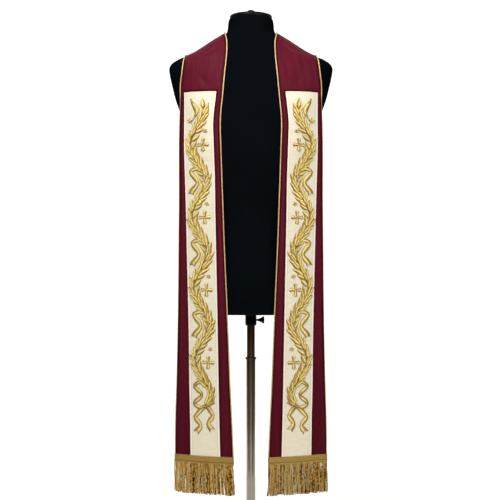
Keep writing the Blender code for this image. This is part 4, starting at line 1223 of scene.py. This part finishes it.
def along_hem(line, share):
    """A point on the header's back, past the ends where the share is outside 0 to 1."""
    lengths = [0.0]
    for a, b in zip(line, line[1:]):
        lengths.append(lengths[-1] + (b - a).length)
    want = share * (lengths[-1] + 2.0 * HEADER_OVERHANG) - HEADER_OVERHANG
    cell = 0
    while cell < len(line) - 2 and lengths[cell + 1] < want:
        cell += 1
    way = (line[cell + 1] - line[cell]).normalized()
    spot = line[cell] + (want - lengths[cell]) * way
    out = Vector((way.y, -way.x))
    return spot, way, out if out.y < 0.0 else -out


random.seed(23)
for side, label in ((1.0, "left"), (-1.0, "right")):
    line = hem_line("stole_" + label)
    header = new_pad("braid_" + label, 120, 16)
    for vertex in header.data.vertices:
        share, down, upper = (vertex.co.x + 1.0) / 2.0, (1.0 - vertex.co.y) / 2.0, vertex.co.z > -0.5
        spot, way, out = along_hem(line, share)
        low_knot = max(k for k in range(len(HEADER_PROFILE)) if HEADER_PROFILE[k][0] <= down + 1e-9)
        low_knot = min(low_knot, len(HEADER_PROFILE) - 2)
        (d0, h0), (d1, h1) = HEADER_PROFILE[low_knot], HEADER_PROFILE[low_knot + 1]
        lift = h0 + (h1 - h0) * (down - d0) / (d1 - d0) if upper else HEADER_BACK
        if upper and (share < 0.004 or share > 0.996):
            lift *= 0.7
        place_xy = spot + lift * out
        vertex.co = Vector((place_xy.x, place_xy.y, HEADER_TOP + (HEADER_BOTTOM - HEADER_TOP) * down))
    make_active(header)
    bpy.ops.object.mode_set(mode="EDIT")
    bpy.ops.mesh.select_all(action="SELECT")
    bpy.ops.mesh.normals_make_consistent(inside=False)
    bpy.ops.object.mode_set(mode="OBJECT")
    header.data.shade_smooth()
    header.data.materials.append(braid_gold)
    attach(header, "form")

    cords = bmesh.new()
    groove = cords.verts.layers.float.new("groove")
    tones = cords.verts.layers.float.new("cord_tone_and_shade")
    for row, number in [(row, number) for row in (0, 1) for number in range(CORDS - row)]:
        share = (number + 0.5 + 0.5 * row) / CORDS
        spot, way, out = along_hem(line, share)
        foot = FRINGE_FOOT + random.uniform(-0.0030, 0.0030)
        drift = random.uniform(-0.0016, 0.0016) - 0.0045 * (1.0 - share) ** 2
        forward = (0.0032, 0.0004)[row] + random.uniform(-0.0006, 0.0006)
        belly = random.uniform(-0.0008, 0.0014)
        start_turn = random.uniform(0.0, FULL_TURN)
        # painted shade: the back row is given dark tones, as it hangs behind the front one
        own_tone = random.uniform(0.08, 0.95) if row == 0 else random.uniform(0.02, 0.20)
        top = HEADER_BOTTOM + CORD_HIDDEN
        rings = int((top - foot) / CORD_TURN * CORD_RINGS_PER_TURN)
        previous = None
        for r in range(rings + 1):
            fall = r / rings
            z = top + (foot - top) * fall
            centre = spot + (forward + belly * math.sin(math.pi * fall)) * out + (
                drift * fall * fall + 0.0008 * math.sin(5.0 * fall + start_turn)) * way
            taper = 1.0 if r < rings else 0.55
            turn = start_turn + side * 2.0 * math.pi * r / CORD_RINGS_PER_TURN
            if r % (CORD_RINGS_PER_TURN // 2) == 0:
                bead_tone = own_tone + (random.uniform(-0.34, 0.50) if row == 0 else 0.0)
            ring = []
            for k in range(CORD_SIDES):
                angle = 2.0 * math.pi * k / CORD_SIDES
                reach = (1.0, 1.25)[row] * CORD_PLY * taper * (1.62 if k % 3 == 0 else 0.98)
                offset = reach * math.cos(angle + turn) * way + reach * math.sin(angle + turn) * out
                ring.append(cords.verts.new((centre.x + offset.x, centre.y + offset.y, z)))
                # the groove mark carries the painted shade between the plies
                ring[-1][groove] = 0.0 if k % 3 == 0 else 1.0
                ring[-1][tones] = bead_tone
            if previous is None:
                cords.faces.new(ring)
            else:
                for k in range(CORD_SIDES):
                    n = (k + 1) % CORD_SIDES
                    cords.faces.new((previous[k], previous[n], ring[n], ring[k]))
            previous = ring
        cords.faces.new(list(reversed(previous)))
    bmesh.ops.recalc_face_normals(cords, faces=cords.faces)
    fringe = bpy.data.objects.new("bullion_" + label, bpy.data.meshes.new("bullion_" + label))
    bpy.context.scene.collection.objects.link(fringe)
    cords.to_mesh(fringe.data)
    cords.free()
    fringe.data.shade_smooth()
    fringe.data.materials.append(bullion)
    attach(fringe, "form")
    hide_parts("fringe_" + label)

# ---------------------------------------------------------------- room, light and camera
# A seamless pale sweep with two lamps of its own, a broad softbox high in front on the
# left, a weaker one on the right, and a level camera just under 1 m up.

deselect()
bpy.ops.mesh.primitive_plane_add(size=1.0)
sweep = bpy.context.object
sweep.name = "paper_sweep"
bpy.ops.object.mode_set(mode="EDIT")
bpy.ops.mesh.select_all(action="SELECT")
bpy.ops.transform.resize(value=(16.0, 12.0, 1.0))
bpy.ops.transform.translate(value=(0.0, -2.5, 0.0))
bpy.ops.mesh.select_all(action="DESELECT")
shape = bmesh.from_edit_mesh(sweep.data)
for edge in shape.edges:
    if all(vertex.co.y > 3.0 for vertex in edge.verts):
        edge.select = True
        for vertex in edge.verts:
            vertex.select = True
bmesh.update_edit_mesh(sweep.data)
SWEEP_STEPS = 10
SWEEP_RADIUS = 1.6
WALL_HEIGHT = 5.0
stride = SWEEP_RADIUS * math.pi / 2.0 / SWEEP_STEPS
for step in range(SWEEP_STEPS):
    turn = math.pi / 2.0 * (step + 0.5) / SWEEP_STEPS
    bpy.ops.mesh.extrude_edges_move(
        TRANSFORM_OT_translate={"value": (0.0, stride * math.cos(turn), stride * math.sin(turn))})
bpy.ops.mesh.extrude_edges_move(TRANSFORM_OT_translate={"value": (0.0, 0.0, WALL_HEIGHT)})
bpy.ops.object.mode_set(mode="OBJECT")
sweep.data.shade_smooth()
# matt paper scatters the light evenly, and leaves the ground plain
paper, shader = new_material("matt white paper", roughness=0.95)
shader.inputs["Base Color"].default_value = linear("#d9d9d6")
sweep.data.materials.append(paper)


def softbox(name, place, target, size, watts):
    """A square lamp at a place, facing its target, with its size in metres."""
    lamp = bpy.data.lights.new(name, "AREA")
    lamp.shape = "SQUARE"
    lamp.size = size
    lamp.energy = watts
    holder = bpy.data.objects.new(name, lamp)
    bpy.context.scene.collection.objects.link(holder)
    holder.location = place
    holder.rotation_euler = (Vector(target) - Vector(place)).to_track_quat("-Z", "Y").to_euler()


softbox("key_softbox", (-0.7, -1.8, 3.2), (0.0, 0.0, 1.30), 1.3, 92.0)
softbox("fill_softbox", (1.9, -2.4, 2.3), (0.0, 0.0, 1.15), 1.8, 45.0)
softbox("backdrop_lamp_left", (-1.6, 1.5, 3.3), (-0.5, 4.6, 1.0), 1.8, 140.0)
softbox("backdrop_lamp_right", (1.6, 1.5, 3.3), (0.5, 4.6, 1.0), 1.8, 140.0)
ROOM_LIGHT = 0.09
world = bpy.data.worlds.new("soft room")
world.use_nodes = True
background = world.node_tree.nodes["Background"]
background.inputs["Color"].default_value = (1.0, 1.0, 1.0, 1.0)
background.inputs["Strength"].default_value = ROOM_LIGHT
bpy.context.scene.world = world
bpy.context.scene.view_settings.view_transform = "Standard"

CAMERA_SPOT = (-0.0025, -2.80, 0.97)
camera_data = bpy.data.cameras.new("camera")
camera_data.sensor_width = 36.0
camera_data.lens = 72.0
camera = bpy.data.objects.new("camera", camera_data)
bpy.context.scene.collection.objects.link(camera)
camera.location = CAMERA_SPOT
camera.rotation_euler = (math.pi / 2.0, 0.0, 0.0)
bpy.context.scene.camera = camera
